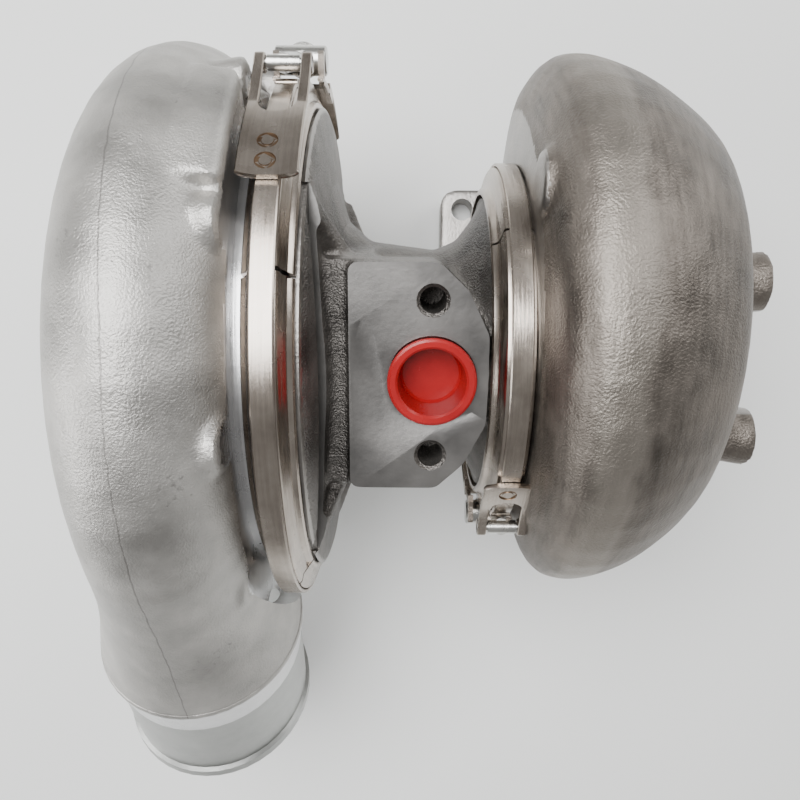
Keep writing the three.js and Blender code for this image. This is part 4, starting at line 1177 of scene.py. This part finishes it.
def clamp(label, plane, flange, segments, side, start, bend, reach, middle, half, tail, slot, welds):
    """One V-band clamp, from its place on the shaft, its flange and its latch's sizes and angles."""
    top = flange + 5.6
    strap_top = top + 1.5
    base = strap_top + 0.3
    foot = flange - 4
    step = 360 / segments

    segment = piece("segment", turned([
        (plane - half, foot), (plane - half, foot + 1.4), (plane - half + 0.5, foot + 2.2),
        (plane - half + 2, foot + 2.9),
        (plane - half + 2.8, foot + 4), (plane - half + 3.3, top - 1), (plane - half + 3.9, top - 0.2),
        (plane - half + 4.6, top),
        (plane + half - 4.6, top), (plane + half - 3.9, top - 0.2), (plane + half - 3.3, top - 1),
        (plane + half - 2.8, foot + 4),
        (plane + half - 2, foot + 2.9), (plane + half - 0.5, foot + 2.2), (plane + half, foot + 1.4),
        (plane + half, foot),
        (plane + 5.9, foot), (plane + 5.4, flange + 0.7), (plane + 3.8, flange + 3.4),
        (plane - 3.8, flange + 3.4),
        (plane - 5.4, flange + 0.7), (plane - 5.9, foot),
    ], sides=int(96 / segments) * 2, start=0, stop=step - 0.8))
    ring = repeated(f"{label}_clamp_segments", segment, segments, stainless, side * middle + 0.4)
    fit(ring, "housing", "clamp_steel", *[f"{label}_clamp_segment_{i + 1}" for i in range(segments)])

    head = around(plane, strap_top + 3.8, side * bend) + around(0, 1, side * (bend + 90)) * reach
    head_radius = head.yz.length
    head_angle = math.degrees(math.atan2(head.y, head.z)) * side
    span = 2 * math.degrees(math.asin(21 / head_radius))
    barrel = around(plane, head_radius, side * (head_angle + span))
    way = (barrel - head).normalized()
    out = Vector((1, 0, 0)).cross(way) * side

    def at(distance, height=0.0, across=0.0):
        return head + way * distance + out * height + Vector((across, 0, 0))

    opening, closing = sorted((side * (head_angle + 2), side * (head_angle + span + 7)))
    strap = piece(f"{label}_clamp_strap_band", turned([
        (plane - 3.4, top + 0.5), (plane - 3.4, strap_top - 0.3), (plane - 3, strap_top),
        (plane + 3, strap_top),
        (plane + 3.4, strap_top - 0.3), (plane + 3.4, top + 0.5), (plane + 3.1, top + 0.3),
        (plane - 3.1, top + 0.3),
    ], sides=150, start=closing, stop=opening + 360))
    rolled = side * (head_angle + 1.4)
    work(
        strap, "UNION",
        rod(
            around(plane - 3.4, strap_top - 0.4, rolled), around(plane + 3.4, strap_top - 0.4, rolled), 1.3,
            sides=24
        )
    )
    fit(paint(strap, stainless), "housing", "clamp_steel", f"{label}_clamp_strap")

    # The fork: a plate with a bowed edge on the strap, then two prongs that curl round the bolt's cross
    # pin.
    plate = []
    arc_length = math.radians(bend - start) * base
    straight = around(0, 1, side * (bend + 90))
    flat_out = around(0, 1, side * bend)
    bend_point = around(0, base, side * bend)

    def on_plate(distance):
        if distance < arc_length:
            angle = side * (start + math.degrees(distance / base))
            return around(0, base, angle), around(0, 1, angle)
        return bend_point + straight * (distance - arc_length), flat_out

    bow = 1.7
    prong_start = slot + 5.6
    for i in range(40):
        distance = prong_start * (i / 39) ** 1.6
        width = HALF_LATCH * math.sqrt(1 - 0.9 * (1 - min(distance / bow, 1)) ** 2)
        spot, outwards = on_plate(distance)
        plate.append((spot, outwards, plane - width, plane + width))
    fork = piece(f"{label}_clamp_fork_plate", ribbon(plate, PLATE))
    prongs = []
    for low, high in ((-HALF_LATCH, -5.6), (5.6, HALF_LATCH)):
        path = []
        length = arc_length + reach - prong_start + 1
        for i in range(15):
            spot, outwards = on_plate(prong_start - 1 + length * i / 14)
            path.append(
                (spot + outwards * (0.3 + 5 * (i / 14) ** 1.5), outwards, plane + low, plane + high)
            )
        for i in range(1, 17):
            turn = Matrix.Rotation(-side * math.radians(16.5 * i), 3, "X")
            outwards = turn @ flat_out
            path.append((head * Vector((0, 1, 1)) + outwards * 1.8, outwards, plane + low, plane + high))
        prongs.append(ribbon(path, 1.3))
    work(fork, "UNION", *prongs)
    slot_end, slot_out = on_plate(prong_start)
    slot_end += Vector((plane, 0, 0))
    work(fork, "DIFFERENCE", rod(slot_end - slot_out * 2, slot_end + slot_out * 4, 5.6, sides=48))
    spots = []
    for distance in welds:
        spot, outwards = on_plate(distance)
        spot += Vector((plane - 0.6, 0, 0))
        spots.append((spot + outwards * (PLATE - 0.35), outwards))
        work(
            fork, "DIFFERENCE",
            rod(spot + outwards * (PLATE - 0.35), spot + outwards * (PLATE + 0.6), 2.8, 3.4, sides=32)
        )
        work(
            fork, "UNION",
            rod(spot + outwards * (PLATE - 0.8), spot + outwards * (PLATE - 0.1), 2.1, 1.7, sides=32)
        )
    paint(fork, stainless, weld_tint)
    machine(fork, 1, lambda middle, out: any(
        1.6 < (middle - floor).length < 3.2 and abs((middle - floor).dot(away)) < 0.22 for floor,
        away in spots))
    fit(fork, "housing", "clamp_steel", f"{label}_clamp_fork")

    # The hooks: a plate on the strap's far end and an ear on each side that turns up behind the trunnion
    # bar.
    far = head_angle + span
    rows = []
    for i in range(33):
        angle = far + tail - (tail - 9) * (1 - i / 32) ** 1.6
        from_end = math.radians(far + tail - angle) * base
        width = HALF_LATCH * math.sqrt(1 - 0.9 * (1 - min(from_end / bow, 1)) ** 2)
        rows.append(
            (around(0, base, side * angle), around(0, 1, side * angle), plane - width, plane + width)
        )
    hooks = piece(f"{label}_clamp_hook_plate", ribbon(rows, PLATE))
    ears = []
    for low, high in ((-HALF_LATCH, -6.8), (6.8, HALF_LATCH)):
        rows = []
        for i in range(15):
            angle = far - 6.8 + 17.8 * i / 14
            lift = -2.6 * max(0, min(1, (far + 13 - angle) / 4.5))
            rows.append(
                (
                    around(0, base + lift, side * angle), around(0, 1, side * angle), plane + low,
                    plane + high
                )
            )
        ears.append(ribbon(rows, 1.8))
        lip = [at(33.2, -7.6), at(36.2, -7.6), at(36.2, 2.2), at(35.4, 3.2), at(34, 3.4), at(33.2, 2.4)]
        ears.append(slab([(point.y, point.z) for point in lip], plane + low, plane + high))
        heel = [
            around(0, base - 2.6 + height, side * (far + turn))
            for height, turn in ((0, 8), (0, 14), (4.2, 14), (4.2, 8))
        ]
        ears.append(slab([(point.y, point.z) for point in heel], plane + low, plane + high))
    work(hooks, "UNION", *ears)
    fit(paint(hooks, stainless), "housing", "clamp_steel", f"{label}_clamp_hooks")

    # The T-bolt, its trunnion bar and its nut.
    bolt = piece(f"{label}_clamp_t_bolt_forged", rod(at(0, 0, -5), at(0, 0, 5), 2.4))
    work(bolt, "UNION", rod(at(0, 0, -8.6), at(0, 0, 8.6), PIN_RADIUS, sides=32),
         rod(at(0), at(BOLT_LENGTH), BOLT_RADIUS), rod(at(62), at(63), BOLT_RADIUS, 2.4))
    paint(bolt, zinc_steel)
    thread = threaded(f"{label}_clamp_bolt_thread", at(26), way, 36, 2.86, zinc_steel)
    fit(bolt, f"{label}_bolt", "steel", f"{label}_clamp_t_bolt")
    fit(thread, f"{label}_bolt", "steel")
    bar = piece(f"{label}_clamp_trunnion_bar", loft([
        [barrel + Vector((across, 0,
            0)) + (way * math.cos(math.tau * i / 48) + out * math.sin(math.tau * i / 48)) * radius
         for i in range(48)] for across, radius in ((-9.2, 4.4), (-8.7, 5), (8.7, 5), (9.2, 4.4))
    ]))
    work(bar, "DIFFERENCE", rod(at(34), at(50), 3.6))
    fit(paint(bar, zinc_steel), f"{label}_trunnion", "steel", f"{label}_clamp_trunnion")
    nut = piece(f"{label}_clamp_hex_nut", rod(at(47.4), at(53.4), 6.2, sides=6))
    work(nut, "INTERSECT", rod(at(46), at(53.4), 8.6, 5.3))
    work(nut, "UNION", rod(at(47.4), at(47.9), 6.1, 6.3))
    work(nut, "DIFFERENCE", rod(at(46), at(55), 3.6))
    fit(paint(nut, zinc_steel), f"{label}_nut", "steel", f"{label}_clamp_nut")


clamp("compressor", COMPRESSOR_JOINT, COMPRESSOR_FLANGE, 5, side=1, start=26.2, bend=44, reach=21,
    middle=83, half=7.5, tail=34,
      slot=25, welds=(5, 12.4))
clamp("turbine", TURBINE_JOINT, TURBINE_FLANGE, 3, side=-1, start=44, bend=58, reach=12, middle=88,
    half=8.2, tail=40, slot=9.5,
      welds=(4.6,))

# ---- drain cap
# A moulded red cup pushed into the oil drain for transport; its flat lip rests on the face and it pulls
# straight out.

red_plastic = finish(
    "moulded_red_plastic", (0.30, 0.007, 0.009), (0.42, 0.014, 0.015), (0.22, 0.32), metal=0, size=260,
    grain=0.03
)
red_plastic.node_tree.nodes["Principled BSDF"].inputs["Subsurface Weight"].default_value = 0.03
cap_profile = [
    (-11.3, 0), (-11.3, 11), (-10.9, 11.5), (-9, 11.9), (0, 12.1), (0.4, 13.4), (1, 14), (2.2, 14.2),
    (2.9, 13.9), (3.3, 13.2),
    (3.2, 11.6), (2.6, 10.9), (-8.6, 9.9), (-9.4, 9.2), (-9.5, 0),
]
cap_corners, cap_faces = turned(cap_profile, sides=96)
upright = Matrix(((0, 1, 0), (0, 0, 1), (1, 0, 0)))
cup = ([drain(DRAIN_X, 0, DRAIN_FACE + 0.3) + Matrix.Rotation(math.radians(-DRAIN_TURN), 3,
    "X") @ (upright @ corner)
        for corner in cap_corners], cap_faces)
cap = piece("drain_cap_moulding", cup)
fit(paint(cap, red_plastic), "cap", "cap_plastic", "drain_cap")

# ---- floor, light and camera
# A pale bench under a broad soft lamp, with a dimmer one on each side; none of it belongs to the
# turbocharger.

bench = bpy.data.objects.new("bench", bpy.data.meshes.new("bench"))
bench.data.from_pydata([(-3, -3, 0), (3, -3, 0), (3, 3, 0), (-3, 3, 0)], [], [(0, 1, 2, 3)])
bench.location.z = cad_box[0][2] - 0.0005
bpy.context.scene.collection.objects.link(bench)
pale = bpy.data.materials.new("pale_bench")
pale.use_nodes = True
pale.node_tree.nodes["Principled BSDF"].inputs["Base Color"].default_value = (0.86, 0.87, 0.86, 1)
pale.node_tree.nodes["Principled BSDF"].inputs["Roughness"].default_value = 0.7
paint(bench, pale)

world = bpy.data.worlds.new("studio")
world.use_nodes = True
world.node_tree.nodes["Background"].inputs["Color"].default_value = (1, 0.99, 0.975, 1)
world.node_tree.nodes["Background"].inputs["Strength"].default_value = 0.36
bpy.context.scene.world = world
for name, spot, size, power, aim in (
    ("overhead_lamp", (-0.35, 0.25, 1.15), 0.8, 22, (-0.08, -0.03, 0.1)),
    ("left_lamp", (-1.1, -0.3, 0.5), 0.5, 7, (-0.1, 0, 0.1)),
    ("right_lamp", (0.9, 0.6, 0.7), 0.6, 7, (0, 0, 0.1)),
):
    lamp = bpy.data.objects.new(name, bpy.data.lights.new(name, "AREA"))
    lamp.data.size = size
    lamp.data.energy = power
    lamp.location = spot
    lamp.rotation_euler = (Vector(aim) - Vector(spot)).to_track_quat("-Z", "Y").to_euler()
    bpy.context.scene.collection.objects.link(lamp)

camera = bpy.data.objects.new("camera", bpy.data.cameras.new("camera"))
camera.data.lens = 32.4
camera.data.clip_start = 0.01
camera.location = (-0.080, -0.0337, 0.3879)
camera.rotation_euler = (-0.0674, 0.0025, 0.0102)
bpy.context.scene.collection.objects.link(camera)
bpy.context.scene.camera = camera
